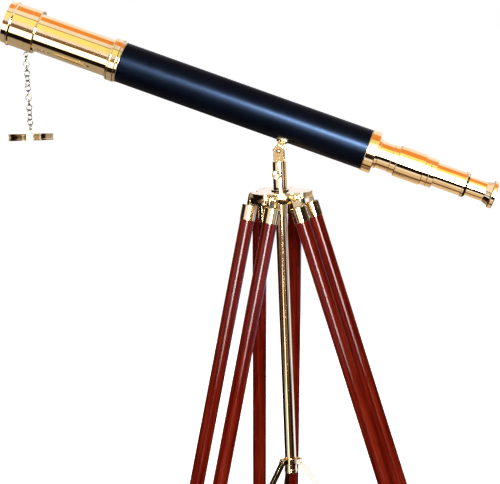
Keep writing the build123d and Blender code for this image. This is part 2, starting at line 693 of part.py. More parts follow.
# Lower bracket: two cups, a guide for the lower rod, the arm's fork with its pin and the knob's boss
cup_diameter = rod_diameter + 2 * seat_gap + 2 * bracket_wall
guide_bore = lower_rod_diameter + 2 * running_fit
guide_outside = guide_bore + 2 * bracket_wall
bracket = block(-bracket_web / 2, bracket_web / 2, -rod_y, rod_y, bracket_bottom, bracket_top)
for side in (-1, 1):
    bracket += Pos(0, side * rod_y, 0) * rod(cup_diameter, bracket_bottom, bracket_top)
bracket += rod(guide_outside, bracket_bottom, bracket_top)
pivot_fork = arm_half + side_gap
for side in (-1, 1):
    edges = sorted((side * pivot_fork, side * (pivot_fork + cheek_thickness)))
    cheek = block(-arm_pivot_inset, -guide_bore / 2, edges[0], edges[1],
                  bracket_bottom, cheek_radius - arm_pivot_reach)
    cheek += Pos(-arm_pivot_inset, 0, -arm_pivot_reach) * cross_pin(2 * cheek_radius, edges[0], edges[1])
    cheek -= block(-2 * arm_pivot_inset, -arm_pivot_inset, -lug_width, lug_width,
                   bracket_bottom, -arm_pivot_reach - cheek_radius)
    bracket += cheek
bracket += Pos(-arm_pivot_inset, 0, -arm_pivot_reach) * cross_pin(arm_pin_diameter, -pivot_fork, pivot_fork)
knob_z = (bracket_bottom + bracket_top) / 2
knob_frame = Pos(0, 0, knob_z) * Rot(0, 90, 0)
boss_face = guide_outside / 2 + knob_boss
bracket += knob_frame * rod(knob_boss_diameter, guide_bore / 2, boss_face)
for side in (-1, 1):
    bracket -= Pos(0, side * rod_y, 0) * rod(rod_diameter + 2 * seat_gap, rod_bottom, 0)
bracket -= rod(guide_bore, bracket_bottom - bracket_length, 0)
bracket -= knob_frame * rod(knob_shank + 2 * running_fit, 0, 2 * boss_face)
clamp_knob = rod(knob_shank, lower_rod_diameter / 2 + side_gap, boss_face + knob_stand)
clamp_knob += rod(knob_head, boss_face + knob_stand, boss_face + knob_stand + knob_thickness)

# Lower rod and its foot, cut level with the floor
lower_rod = rod(lower_rod_diameter, lower_bottom, lower_top)
foot_bottom = -leg_reach - foot_length
foot_top = lower_bottom + foot_socket
foot_outside = lower_rod_diameter + 2 * seat_gap + 2 * foot_wall
foot = turned(
    (0, foot_bottom),
    (foot_tip / 2, foot_bottom),
    (foot_tip / 2, -leg_reach),
    (foot_outside / 2, lower_bottom),
    (foot_outside / 2, foot_top - foot_rim),
    (foot_outside / 2 + foot_rim_rise, foot_top - foot_rim),
    (foot_outside / 2 + foot_rim_rise, foot_top),
    (0, foot_top))
foot -= rod(lower_rod_diameter + 2 * seat_gap, lower_bottom, foot_top)
floor = block(-leg_reach, leg_reach, -leg_reach, leg_reach, -leg_reach, 0)
for number, turn in enumerate(leg_turns, 1):
    frame = leg_frame(turn)
    keep(f"leg_{number}_rods", *[frame * piece for piece in leg_rods])
    keep(f"leg_{number}_ferrules", *[frame * piece for piece in ferrules])
    keep(f"leg_{number}_bracket", frame * bracket)
    keep(f"leg_{number}_clamp_knob", frame * knob_frame * clamp_knob)
    keep(f"leg_{number}_lower_rod", frame * lower_rod)
    keep(f"leg_{number}_foot", frame * foot - floor)

# Chain from the dew cap's eyelet down to the dust cap
eyelet_centre = eyelet_stem + eyelet_radius
eyelet = rod(eyelet_stem_diameter, seat_gap - eyelet_depth, eyelet_stem)
eyelet += Pos(0, 0, eyelet_centre) * Rot(90, 0, 0) * Torus(eyelet_radius, eyelet_wire / 2)
keep_on_tube("chain_eyelet", eyelet_place * eyelet)
ring_x = -dew_ring_radius - eyelet_centre
ring_centre = tube_origin + tube_up * ring_x + tube_forward * u_dew_eyelet
wire_lift = (eyelet_wire + link_wire) / 2 + link_room
chain_top = Vector(ring_centre.X, 0, ring_centre.Z - eyelet_radius + wire_lift)
link_bend = (link_width - link_wire) / 2
link_straight = (link_length - link_width) / 2
link_pitch = link_length - 2 * link_wire - link_room
link_top = link_straight + link_bend
link_path = Wire([
    Line((0, link_bend, -link_straight), (0, link_bend, link_straight)),
    ThreePointArc((0, link_bend, link_straight), (0, 0, link_top), (0, -link_bend, link_straight)),
    Line((0, -link_bend, link_straight), (0, -link_bend, -link_straight)),
    ThreePointArc((0, -link_bend, -link_straight), (0, 0, -link_top), (0, link_bend, -link_straight))])
link = sweep(Pos(0, link_bend, 0) * Circle(link_wire / 2), link_path)
first_link = chain_top - Vector(0, 0, (link_length - link_wire) / 2)
links = []
for index in range(link_count):
    turn = index * (90 + chain_twist / (link_count - 1))
    links.append(Pos(first_link - Vector(0, 0, index * link_pitch)) * Rot(0, 0, turn) * link)
keep("chain_links", *links)

# Dust cap, hanging mouth down by its eye on the last link, leaning a little
chain_end_z = first_link.Z - (link_count - 1) * link_pitch - (link_length - link_wire) / 2
cap_ring_z = chain_end_z + wire_lift - eyelet_radius
cap_top = cap_ring_z - eyelet_radius - eyelet_stem / 2
cap_bore = lip_diameter + 2 * dust_cap_room
cap_bottom = cap_top - dust_cap_height
dust_cap = rod(cap_bore + 2 * dust_cap_wall, cap_bottom, cap_top)
dust_cap -= rod(cap_bore, cap_bottom, cap_top - dust_cap_roof)
dust_cap += rod(eyelet_stem_diameter, cap_top - dust_cap_roof / 2, cap_top + eyelet_stem / 2)
dust_cap += Pos(0, 0, cap_ring_z) * Rot(90, 0, 0) * Torus(eyelet_radius, eyelet_wire / 2)
cap_eye = Pos(0, 0, cap_ring_z)
keep("dust_cap", Pos(chain_top.X, 0, 0) * cap_eye * Rot(-dust_cap_lean, 0, 0) * cap_eye.inverse() * dust_cap)

# The part stands on the floor, centred under its bounding box
boxes = [solid.bounding_box() for solids in nodes.values() for solid in solids]
lows = [box.min for box in boxes]
highs = [box.max for box in boxes]
low = Vector(min(p.X for p in lows), min(p.Y for p in lows), min(p.Z for p in lows))
high = Vector(max(p.X for p in highs), max(p.Y for p in highs), max(p.Z for p in highs))
size = high - low
column_place = Pos(-(low.X + high.X) / 2, -(low.Y + high.Y) / 2, -low.Z)
for name, solids in nodes.items():
    placed = [solid.moved(column_place) for solid in solids]
    export_step(placed[0] if len(placed) == 1 else Compound(children=placed), f"parts/{name}.step")
print(f"overall {size.X:.1f} x {size.Y:.1f} x {size.Z:.1f} mm, {len(nodes)} nodes")
print(f"column axis at {column_place.position.X:.3f}, {column_place.position.Y:.3f}")
print(f"spreader arm {arm_length:.2f} mm at {arm_angle:.2f} degrees")
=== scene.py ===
import bmesh
import bpy
import json
import math
import random
from mathutils import Matrix, Vector


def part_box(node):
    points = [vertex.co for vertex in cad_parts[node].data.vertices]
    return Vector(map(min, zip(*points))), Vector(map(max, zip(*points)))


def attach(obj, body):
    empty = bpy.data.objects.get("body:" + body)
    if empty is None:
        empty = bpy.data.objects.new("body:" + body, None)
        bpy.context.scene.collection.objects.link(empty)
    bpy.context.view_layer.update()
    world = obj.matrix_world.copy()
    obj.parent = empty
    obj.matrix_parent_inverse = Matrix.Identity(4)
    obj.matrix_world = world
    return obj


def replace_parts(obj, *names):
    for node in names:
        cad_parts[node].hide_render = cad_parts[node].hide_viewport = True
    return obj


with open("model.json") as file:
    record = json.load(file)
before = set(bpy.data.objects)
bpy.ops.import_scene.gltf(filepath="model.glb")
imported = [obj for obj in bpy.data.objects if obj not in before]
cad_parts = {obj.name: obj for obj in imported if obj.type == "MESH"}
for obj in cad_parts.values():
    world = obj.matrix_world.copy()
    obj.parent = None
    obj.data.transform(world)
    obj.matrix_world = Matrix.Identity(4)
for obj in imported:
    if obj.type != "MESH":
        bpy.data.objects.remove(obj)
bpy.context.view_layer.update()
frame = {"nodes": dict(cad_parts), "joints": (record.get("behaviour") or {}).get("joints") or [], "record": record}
record = frame["record"]
mounts = {mount["name"]: mount for mount in record["mounts"]}
joints = {joint["name"]: joint for joint in frame["joints"]}
upward = Vector((0, 0, 1))
across = Vector((0, 1, 0))
legNumbers = (1, 2, 3)


# Frames that the pieces are made in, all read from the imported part

def frameOf(origin, axis, side):
    z = axis.normalized()
    y = (side - side.dot(z) * z).normalized()
    matrix = Matrix((y.cross(z), y, z)).transposed().to_4x4()
    matrix.translation = origin
    return matrix


def shifted(place, x=0.0, y=0.0, z=0.0):
    return place @ Matrix.Translation((x, y, z))


def polar(radius, turn, height=0.0):
    return Vector((radius * math.cos(turn), radius * math.sin(turn), height))


def middle(node):
    low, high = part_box(node)
    return (low + high) / 2


def placeOf(joint):
    return Vector(joints[joint]["pos_m"])


def axisOf(joint):
    return Vector(joints[joint]["axis"])


def jointFrame(joint):
    return frameOf(placeOf(joint), axisOf(joint), upward)


def span(node, place):
    inverse = place.inverted()
    points = [inverse @ vertex.co for vertex in frame["nodes"][node].data.vertices]
    radii = [math.hypot(point.x, point.y) for point in points]
    heights = [point.z for point in points]
    return min(heights), max(heights), min(radii), max(radii)


def endsOf(node, place):
    return span(node, place)[:2]


def outerOf(node, place):
    return span(node, place)[3]


lip = mounts["objective_lip"]
tubeFrame = frameOf(Vector(lip["pos_m"]), Vector(lip["axis"]), across)
pivot = placeOf("tilt")
pivotFrame = frameOf(pivot, upward, across)
saddleFrame = shifted(tubeFrame, z=(tubeFrame.inverted() @ pivot).z)
headBottom, headTop = (corner.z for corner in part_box("tripod_head"))
columnFoot = Vector((middle("column").x, middle("column").y, 0))
columnFrame = frameOf(columnFoot, upward, across)
headCentre = columnFoot + upward * headTop
capFrame = frameOf(placeOf("cap_swing"), -Vector(mounts["dust_cap_mouth"]["axis"]), across)
uprightSlab = Matrix.Rotation(math.pi / 2, 4, "X")    # a slab's plan stands up, its thickness runs along Y
facingSlab = Matrix(((0, 0, 1, 0), (1, 0, 0, 0), (0, 1, 0, 0), (0, 0, 0, 1)))    # its thickness runs along X
sidewaysLathe = Matrix.Rotation(-math.pi / 2, 4, "X")    # a turned piece lies along Y

# Camera, at the photograph's place

cameraView = {
    "fromHead": Vector((0.3040, -2.9102, 0.4240)),    # metres from the column's axis at the head's top
    "angles": (97.156, -10.071, -2.389),    # heading, pitch and roll
    "lens": 113.66,
    "sensor": 36.0,
    "farthest": 100.0,
}


def placeCamera(view):
    heading, pitch, roll = (math.radians(angle) for angle in view["angles"])
    forward = polar(math.cos(pitch), heading, math.sin(pitch))
    level = forward.cross(upward).normalized()
    lifted = level.cross(forward)
    right = level * math.cos(roll) + lifted * math.sin(roll)
    up = lifted * math.cos(roll) - level * math.sin(roll)
    data = bpy.data.cameras.new("camera")
    data.lens = view["lens"]
    data.sensor_width = view["sensor"]
    data.clip_end = view["farthest"]
    camera = bpy.data.objects.new("camera", data)
    camera.matrix_world = Matrix((right, up, -forward)).transposed().to_4x4()
    camera.location = headCentre + view["fromHead"]
    bpy.context.scene.collection.objects.link(camera)
    bpy.context.scene.camera = camera


placeCamera(cameraView)
print("camera placed")


# Node helpers: an input takes another node's output or a plain value

def feed(tree, node, inputs):
    for name, value in inputs.items():
        if isinstance(value, bpy.types.NodeSocket):
            tree.links.new(value, node.inputs[name])
        else:
            node.inputs[name].default_value = value


def addNode(tree, kind, inputs=None, **settings):
    node = tree.nodes.new(kind)
    for key, value in settings.items():
        setattr(node, key, value)
    feed(tree, node, inputs or {})
    return node


def noiseOf(tree, vector, scale, detail=4.0, rough=0.55):
    inputs = {"Vector": vector, "Scale": scale, "Detail": detail, "Roughness": rough}
    return addNode(tree, "ShaderNodeTexNoise", inputs).outputs["Fac"]


def rampOf(tree, value, stops):
    ramp = addNode(tree, "ShaderNodeValToRGB", {"Fac": value})
    elements = ramp.color_ramp.elements
    while len(elements) < len(stops):
        elements.new(0.5)
    for element, (position, colour) in zip(elements, stops):
        element.position = position
        element.color = (*colour, 1)
    return ramp.outputs["Color"]


def rangeOf(tree, value, low, high, fromLow=0.0, fromHigh=1.0):
    inputs = {"Value": value, "From Min": fromLow, "From Max": fromHigh, "To Min": low, "To Max": high}
    return addNode(tree, "ShaderNodeMapRange", inputs).outputs["Result"]


def mathOf(tree, operation, *values):
    return addNode(tree, "ShaderNodeMath", dict(enumerate(values)), operation=operation).outputs["Value"]


def bumpOf(tree, height, strength, distance, normal=None):
    inputs = {"Height": height, "Strength": strength, "Distance": distance}
    if normal is not None:
        inputs["Normal"] = normal
    return addNode(tree, "ShaderNodeBump", inputs).outputs["Normal"]


def stretched(tree, vector, scale):
    return addNode(tree, "ShaderNodeMapping", {"Vector": vector, "Scale": scale}).outputs["Vector"]


def objectCoordinates(tree):
    return addNode(tree, "ShaderNodeTexCoord").outputs["Object"]


def attributeOf(tree, name):
    return addNode(tree, "ShaderNodeAttribute", attribute_name=name).outputs["Vector"]


def freshMaterial(name):
    material = bpy.data.materials.new(name)
    material.use_nodes = True
    tree = material.node_tree
    return material, tree, tree.nodes["Principled BSDF"]


# Finishes: noises give scale, detail and roughness, ramps where each colour sits, bumps strength and depth

brassLook = {
    "colours": ((0.35, (0.88, 0.67, 0.33)), (0.65, (0.93, 0.75, 0.44))),
    "tone": (14.0,), "smears": (55.0, 6.0, 0.65), "smearStretch": (1.0, 0.5, 1.0),
    "gloss": (0.035, 0.10, 0.35, 0.7), "latheMarks": (2400.0, 2.0), "markBump": (0.010, 0.00003),
    "dents": (30.0, 2.0), "dentBump": (0.02, 0.002)}
agedLook = dict(brassLook, gloss=(0.15, 0.32, 0.35, 0.7),
                colours=((0.35, (0.08, 0.07, 0.04)), (0.65, (0.13, 0.115, 0.065))))
# The leather's specular tint is painted light: the bluish colour of its highlight, which comes from the light, is
# set on the leather itself
leatherLook = {
    "colours": ((0.3, (0.0006, 0.0008, 0.0022)), (0.7, (0.0018, 0.0023, 0.0055))),
    "tone": (18.0, 5.0), "pebbles": 620.0, "pebbleBump": (0.25, 0.0002), "creases": (260.0, 6.0, 0.6),
    "creaseBump": (0.2, 0.0002), "sway": (24.0, 3.0), "swayBump": (0.10, 0.002),
    "gloss": (0.27, 0.34, 0.3, 0.7), "shine": 0.10, "paintedBlueSheen": (0.33, 0.55, 1.0, 1)}
mahoganyLook = {
    "colours": ((0.28, (0.050, 0.0018, 0.0010)), (0.46, (0.130, 0.0056, 0.0024)),
                (0.66, (0.225, 0.0175, 0.0050))),
    "figure": (150.0, 7.0, 0.6), "figureStretch": (1.0, 1.0, 0.035), "gloss": (0.45, 0.6),
    "pores": (1100.0, 2.0), "poreStretch": (1.0, 1.0, 0.018), "poreBump": (0.12, 0.0002), "poreShare": 0.6,
    "poreShades": ((0.36, (0.35, 0.28, 0.28)), (0.46, (1.0, 1.0, 1.0))),
    "varnish": 0.05, "varnishBend": 1.3, "varnishFade": (0.03, 1.0, 0.80, 1.02)}
blackenedLook = {
    "colours": ((0.3, (0.012, 0.011, 0.010)), (0.7, (0.030, 0.027, 0.022))),
    "tone": (90.0,), "gloss": (0.45, 0.65), "metal": 0.6}
glassLook = {
    "colours": ((0.3, (0.95, 0.98, 0.97)), (0.7, (0.90, 0.95, 0.93))),
    "dust": (40.0, 5.0), "gloss": (0.0, 0.02, 0.5, 0.9), "bend": 1.52}


def polishedBrass(name, look):
    material, tree, shader = freshMaterial(name)
    place = objectCoordinates(tree)
    smear = noiseOf(tree, stretched(tree, place, look["smearStretch"]), *look["smears"])
    marks = bumpOf(tree, noiseOf(tree, attributeOf(tree, "polish"), *look["latheMarks"]), *look["markBump"])
    feed(tree, shader, {
        "Base Color": rampOf(tree, noiseOf(tree, place, *look["tone"]), look["colours"]),
        "Roughness": rangeOf(tree, smear, *look["gloss"]),
        "Normal": bumpOf(tree, noiseOf(tree, place, *look["dents"]), *look["dentBump"], marks),
        "Metallic": 1.0})
    return material


def navyLeather(look):
    material, tree, shader = freshMaterial("navyLeather")
    place = objectCoordinates(tree)
    pebbles = {"Vector": place, "Scale": look["pebbles"]}
    cells = addNode(tree, "ShaderNodeTexVoronoi", pebbles, feature="SMOOTH_F1").outputs["Distance"]
    sway = noiseOf(tree, place, *look["sway"])
    normal = bumpOf(tree, cells, *look["pebbleBump"])
    normal = bumpOf(tree, noiseOf(tree, place, *look["creases"]), *look["creaseBump"], normal)
    feed(tree, shader, {
        "Base Color": rampOf(tree, noiseOf(tree, place, *look["tone"]), look["colours"]),
        "Roughness": rangeOf(tree, sway, *look["gloss"]),
        "Normal": bumpOf(tree, sway, *look["swayBump"], normal),
        "Specular IOR Level": look["shine"],
        # painted blue sheen: the highlight's bluish light colour is tinted into the leather's own reflection
        "Specular Tint": look["paintedBlueSheen"]})
    return material


def varnishedMahogany(look):
    material, tree, shader = freshMaterial("varnishedMahogany")
    grain = attributeOf(tree, "grain")
    figure = noiseOf(tree, stretched(tree, grain, look["figureStretch"]), *look["figure"])
    pores = noiseOf(tree, stretched(tree, grain, look["poreStretch"]), *look["pores"])
    mix = addNode(tree, "ShaderNodeMix", {
        "Factor": look["poreShare"],
        "A": rampOf(tree, figure, look["colours"]),
        "B": rampOf(tree, pores, look["poreShades"])}, data_type="RGBA", blend_type="MULTIPLY")
    place = addNode(tree, "ShaderNodeSeparateXYZ", {"Vector": objectCoordinates(tree)})
    feed(tree, shader, {
        "Base Color": mix.outputs["Result"],
        "Roughness": rangeOf(tree, figure, *look["gloss"]),
        "Normal": bumpOf(tree, pores, *look["poreBump"]),
        "Specular IOR Level": 0.0,
        "Coat Weight": rangeOf(tree, place.outputs["Z"], *look["varnishFade"]),
        "Coat Roughness": look["varnish"],
        "Coat IOR": look["varnishBend"]})
    return material


def blackenedBrass(look):
    material, tree, shader = freshMaterial("blackenedBrass")
    tone = noiseOf(tree, objectCoordinates(tree), *look["tone"])
    feed(tree, shader, {
        "Base Color": rampOf(tree, tone, look["colours"]),
        "Roughness": rangeOf(tree, tone, *look["gloss"]),
        "Metallic": look["metal"]})
    return material


def coatedGlass(look):
    material, tree, shader = freshMaterial("coatedGlass")
    dust = noiseOf(tree, objectCoordinates(tree), *look["dust"])
    feed(tree, shader, {
        "Base Color": rampOf(tree, dust, look["colours"]),
        "Roughness": rangeOf(tree, dust, *look["gloss"]),
        "Transmission Weight": 1.0,
        "IOR": look["bend"]})
    return material


slotMaterials = {
    "polished_brass": polishedBrass("polishedBrass", brassLook),
    "leather": navyLeather(leatherLook),
    "mahogany": varnishedMahogany(mahoganyLook),
    "blackened_brass": blackenedBrass(blackenedLook),
    "glass": coatedGlass(glassLook),
}
nodeSlots = {part["node"]: part["material_slot"] for part in record["subparts"]}
agedBrass = polishedBrass("agedBrass", agedLook)


def finishOf(node):
    return agedBrass if node.startswith("chain") else slotMaterials[nodeSlots[node]]


for nodeName, nodeObject in frame["nodes"].items():
    nodeObject.data.materials.clear()
    nodeObject.data.materials.append(finishOf(nodeName))
print("finishes mixed:", ", ".join(slotMaterials))


# Mesh helpers

meshing = {"sharp": math.radians(38), "arcSteps": 4, "rimSteps": 3, "closeFit": 0.00002, "onAxis": 1e-7,
           "cornerShare": 0.45, "holdReach": 1.6, "holdShare": 0.48, "mitre": 0.2, "polishAcross": 0.02}
sides = {"tube": 160, "wide": 128, "column": 96, "rod": 64, "bolt": 48, "ring": 40, "hinge": 32, "pin": 24,
         "stem": 20, "wire": 14}


def pieceFrom(mesh, name, node, body):
    piece = bpy.data.objects.new(name, mesh)
    bpy.context.scene.collection.objects.link(piece)
    if not mesh.materials:
        mesh.materials.append(finishOf(node))
    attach(piece, body)
    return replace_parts(piece, node)


def rounded(outline):
    points = []
    steps = meshing["arcSteps"]
    for index, (radius, height, ease) in enumerate(outline):
        corner = Vector((radius, height))
        if ease <= 0:
            points.append(corner)
            continue
        legs = [Vector(outline[near % len(outline)][:2]) - corner for near in (index - 1, index + 1)]
        limits = [meshing["cornerShare"] * leg.length for leg in legs]
        reach = min(ease / math.tan(legs[0].angle(legs[1]) / 2), *limits)
        start, end = (corner + leg.normalized() * reach for leg in legs)
        holds = [min(meshing["holdReach"] * reach, meshing["holdShare"] * leg.length) for leg in legs]
        points.append(corner + legs[0].normalized() * holds[0])
        for step in range(steps + 1):
            share = step / steps
            points.append(start * (1 - share) ** 2 + corner * 2 * share * (1 - share) + end * share ** 2)
        points.append(corner + legs[1].normalized() * holds[1])
    return points


def joinRings(mesh, first, second):
    count = max(len(first), len(second))
    if count == 1:
        return
    for step in range(count):
        after = (step + 1) % count
        corners = [first[step % len(first)], first[after % len(first)],
                   second[after % len(second)], second[step % len(second)]]
        mesh.faces.new(dict.fromkeys(corners)).smooth = True


def joinLoop(mesh, rings):
    for first, second in zip(rings, rings[1:] + rings[:1]):
        joinRings(mesh, first, second)


def turnsOf(count):
    return [2 * math.pi * step / count for step in range(count)]


def lathe(mesh, place, outline, count):
    rings = []
    for point in rounded(outline):
        turns = turnsOf(count if point.x > meshing["onAxis"] else 1)
        rings.append([mesh.verts.new(place @ polar(point.x, turn, point.y)) for turn in turns])
    joinLoop(mesh, rings)


def arc(centre, radius, start, end, steps):
    turns = [math.radians(start + (end - start) * step / steps) for step in range(steps + 1)]
    return [(centre[0] + radius * math.cos(turn), centre[1] + radius * math.sin(turn)) for turn in turns]


def circle(centre, radius, steps):
    return arc(centre, radius, 0, 360, steps)[:-1]


def rectangle(x0, x1, y0, y1, corner=0.0):
    if corner <= 0:
        return [(x0, y0), (x1, y0), (x1, y1), (x0, y1)]
    left, right, bottom, top = x0 + corner, x1 - corner, y0 + corner, y1 - corner
    plan = []
    centres = ((right, bottom), (right, top), (left, top), (left, bottom))
    for start, centre in zip((-90, 0, 90, 180), centres):
        plan += arc(centre, corner, start, start + 90, meshing["arcSteps"])
    return plan


def shrunk(plan, inset):
    moved = []
    for index, point in enumerate(plan):
        here = Vector(point)
        before = (here - Vector(plan[index - 1])).normalized()
        after = (Vector(plan[(index + 1) % len(plan)]) - here).normalized()
        first, second = Vector((-before.y, before.x)), Vector((-after.y, after.x))
        moved.append(here + (first + second) * inset / max(1 + first.dot(second), meshing["mitre"]))
    return moved


def slab(mesh, place, plan, low, high, ease, holes=()):
    turns = [math.pi / 2 * step / meshing["rimSteps"] for step in range(meshing["rimSteps"] + 1)]
    levels = [(ease * (1 - math.sin(turn)), low + ease * (1 - math.cos(turn))) for turn in turns]
    levels += [(inset, low + high - height) for inset, height in reversed(levels)]
    outside = [(shrunk(plan, inset), height) for inset, height in levels]
    walls = [[(hole, low), (hole, high)] for hole in holes]
    loops = []
    for wall in [outside] + walls:
        rings = []
        for outline, height in wall:
            rings.append([mesh.verts.new(place @ Vector((x, y, height))) for x, y in outline])
        for first, second in zip(rings, rings[1:]):
            joinRings(mesh, first, second)
        loops.append((rings[0], rings[-1]))
    for end in (0, 1):
        if not holes:
            mesh.faces.new(loops[0][end])
            continue
        pairs = [pair for loop in loops for pair in zip(loop[end], loop[end][1:] + loop[end][:1])]
        edges = [mesh.edges.get(pair) or mesh.edges.new(pair) for pair in pairs]
        bmesh.ops.triangle_fill(mesh, use_beauty=True, use_dissolve=False, edges=edges)


def cheeks(mesh, place, plan, near, far, ease, holes=()):
    for low, high in ((near, far), (-far, -near)):
        slab(mesh, place @ uprightSlab, plan, low, high, ease, holes)


def ringInto(mesh, place, radius, wire):
    rings = []
    for turn in turnsOf(sides["ring"]):
        section = [polar(wire, roll) for roll in turnsOf(sides["wire"])]
        rings.append([mesh.verts.new(place @ polar(radius + point.x, turn, point.y)) for point in section])
    joinLoop(mesh, rings)


def closePiece(mesh, name, node, body, polishAbout=None):
    bmesh.ops.recalc_face_normals(mesh, faces=mesh.faces)
    for edge in mesh.edges:
        if len(edge.link_faces) == 2 and edge.calc_face_angle() > meshing["sharp"]:
            edge.smooth = False
    data = bpy.data.meshes.new(name)
    mesh.to_mesh(data)
    mesh.free()
    if polishAbout is not None:
        inverse = polishAbout.inverted()
        polish = data.attributes.new("polish", "FLOAT_VECTOR", "POINT")
        for vertex, value in zip(data.vertices, polish.data):
            local = inverse @ vertex.co
            value.vector = (local.z, meshing["polishAcross"] * math.hypot(local.x, local.y), 0)
    return pieceFrom(data, name, node, body)


def turned(name, node, body, place, outline, count=sides["wide"]):
    mesh = bmesh.new()
    lathe(mesh, place, outline, count)
    return closePiece(mesh, name, node, body, place)


def pipe(name, node, body, place, ease, count=sides["wide"]):
    low, high, inner, outer = span(node, place)
    turned(name, node, body, place,
           [(inner, low, ease), (outer, low, ease), (outer, high, ease), (inner, high, ease)], count)


def rodOutline(radius, low, high, ease=0.0):
    return [(0, low, 0), (radius, low, ease), (radius, high, ease), (0, high, 0)]


def domeOutline(radius, rise, steps):
    ball = (radius * radius + rise * rise) / (2 * rise)
    reach = math.asin(radius / ball)
    turns = [reach * (1 - step / steps) for step in range(steps)]
    curve = [(ball * math.sin(turn), rise - ball + ball * math.cos(turn), 0) for turn in turns]
    return curve + [(0, rise, 0)]


# Geometry Nodes trees for what repeats

treeDetail = {"headSegments": 32, "headRings": 14, "bladeReach": 3.0, "linkBend": 7, "linkRound": 0.499,
              "wireSides": 12, "ridgeSides": 8, "stitchSegments": 8, "stitchRings": 6}


def newTree(name, **inputs):
    tree = bpy.data.node_groups.new(name, "GeometryNodeTree")
    for label, kind in dict(Geometry="Geometry", **inputs, Finish="Material").items():
        tree.interface.new_socket(label, in_out="INPUT", socket_type="NodeSocket" + kind)
    tree.interface.new_socket("Geometry", in_out="OUTPUT", socket_type="NodeSocketGeometry")
    return tree, addNode(tree, "NodeGroupInput").outputs


def endTree(tree, given, points, instance, **facing):
    row = addNode(tree, "GeometryNodeInstanceOnPoints", {"Points": points, "Instance": instance, **facing})
    real = addNode(tree, "GeometryNodeRealizeInstances", {"Geometry": row.outputs["Instances"]})
    smooth = addNode(tree, "GeometryNodeSetShadeSmooth", {"Geometry": real.outputs["Geometry"]})
    finish = addNode(tree, "GeometryNodeSetMaterial", {
        "Geometry": smooth.outputs["Geometry"], "Material": given["Finish"]})
    addNode(tree, "NodeGroupOutput", {"Geometry": finish.outputs["Geometry"]})
    return tree


def vectorOf(tree, **parts):
    return addNode(tree, "ShaderNodeCombineXYZ", parts).outputs["Vector"]


def rotationOf(tree, euler):
    return addNode(tree, "FunctionNodeEulerToRotation", {"Euler": euler}).outputs["Rotation"]


def lineOf(tree, count, offset):
    inputs = {"Count": count, "Offset": offset}
    return addNode(tree, "GeometryNodeMeshLine", inputs, mode="OFFSET").outputs["Mesh"]


def screwTree():
    tree, given = newTree("slottedScrews", Radius="Float", Rise="Float", Slot="Float")
    radius, rise = given["Radius"], given["Rise"]
    ball = addNode(tree, "GeometryNodeMeshUVSphere", {
        "Segments": treeDetail["headSegments"], "Rings": treeDetail["headRings"], "Radius": 1.0})
    head = addNode(tree, "GeometryNodeTransform", {
        "Geometry": ball.outputs["Mesh"], "Scale": vectorOf(tree, X=radius, Y=radius, Z=rise)})
    reach = mathOf(tree, "MULTIPLY", radius, treeDetail["bladeReach"])
    blade = addNode(tree, "GeometryNodeMeshCube", {"Size": vectorOf(tree, X=given["Slot"], Y=reach, Z=rise)})
    lifted = addNode(tree, "GeometryNodeTransform", {
        "Geometry": blade.outputs["Mesh"], "Translation": vectorOf(tree, Z=rise)})
    cut = addNode(tree, "GeometryNodeMeshBoolean", {
        "Mesh 1": head.outputs["Geometry"], "Mesh 2": lifted.outputs["Geometry"]}, operation="DIFFERENCE")
    turn = addNode(tree, "GeometryNodeInputNamedAttribute", {"Name": "turn"}, data_type="FLOAT_VECTOR")
    facing = rotationOf(tree, turn.outputs["Attribute"])
    return endTree(tree, given, given["Geometry"], cut.outputs["Mesh"], Rotation=facing)


def chainTree():
    tree, given = newTree("chainOfLinks", Links="Int", Pitch="Float", Turn="Float", Length="Float",
                          Width="Float", Wire="Float")
    inner = mathOf(tree, "SUBTRACT", given["Width"], given["Wire"])
    oval = addNode(tree, "GeometryNodeCurvePrimitiveQuadrilateral", {
        "Width": inner, "Height": mathOf(tree, "SUBTRACT", given["Length"], given["Wire"])}, mode="RECTANGLE")
    bent = addNode(tree, "GeometryNodeFilletCurve", {
        "Curve": oval.outputs["Curve"], "Count": treeDetail["linkBend"],
        "Radius": mathOf(tree, "MULTIPLY", inner, treeDetail["linkRound"])}, mode="POLY")
    section = addNode(tree, "GeometryNodeCurvePrimitiveCircle", {
        "Resolution": treeDetail["wireSides"],
        "Radius": mathOf(tree, "MULTIPLY", given["Wire"], 0.5)}, mode="RADIUS")
    link = addNode(tree, "GeometryNodeCurveToMesh", {
        "Curve": bent.outputs["Curve"], "Profile Curve": section.outputs["Curve"]})
    stood = addNode(tree, "GeometryNodeTransform", {
        "Geometry": link.outputs["Mesh"], "Rotation": (math.pi / 2, 0, math.pi / 2)})
    line = lineOf(tree, given["Links"], vectorOf(tree, Z=mathOf(tree, "MULTIPLY", given["Pitch"], -1.0)))
    order = addNode(tree, "GeometryNodeInputIndex").outputs["Index"]
    facing = rotationOf(tree, vectorOf(tree, Z=mathOf(tree, "MULTIPLY", order, given["Turn"])))
    return endTree(tree, given, line, stood.outputs["Geometry"], Rotation=facing)


def knurlTree():
    tree, given = newTree("knurledRim", Ridges="Int", Radius="Float", Ridge="Float", Length="Float")
    rim = addNode(tree, "GeometryNodeMeshCircle", {
        "Vertices": given["Ridges"], "Radius": given["Radius"]}, fill_type="NONE")
    bar = addNode(tree, "GeometryNodeMeshCylinder", {
        "Vertices": treeDetail["ridgeSides"], "Radius": given["Ridge"],
        "Depth": given["Length"]}, fill_type="NGON")
    return endTree(tree, given, rim.outputs["Mesh"], bar.outputs["Mesh"])


def seamTree():
    tree, given = newTree("stitchedSeam", Stitches="Int", Spacing="Float", Length="Float", Thread="Float")
    line = lineOf(tree, given["Stitches"], vectorOf(tree, Z=given["Spacing"]))
    ball = addNode(tree, "GeometryNodeMeshUVSphere", {
        "Segments": treeDetail["stitchSegments"], "Rings": treeDetail["stitchRings"], "Radius": 0.5})
    size = vectorOf(tree, X=given["Thread"], Y=given["Thread"], Z=given["Length"])
    return endTree(tree, given, line, ball.outputs["Mesh"], Scale=size)


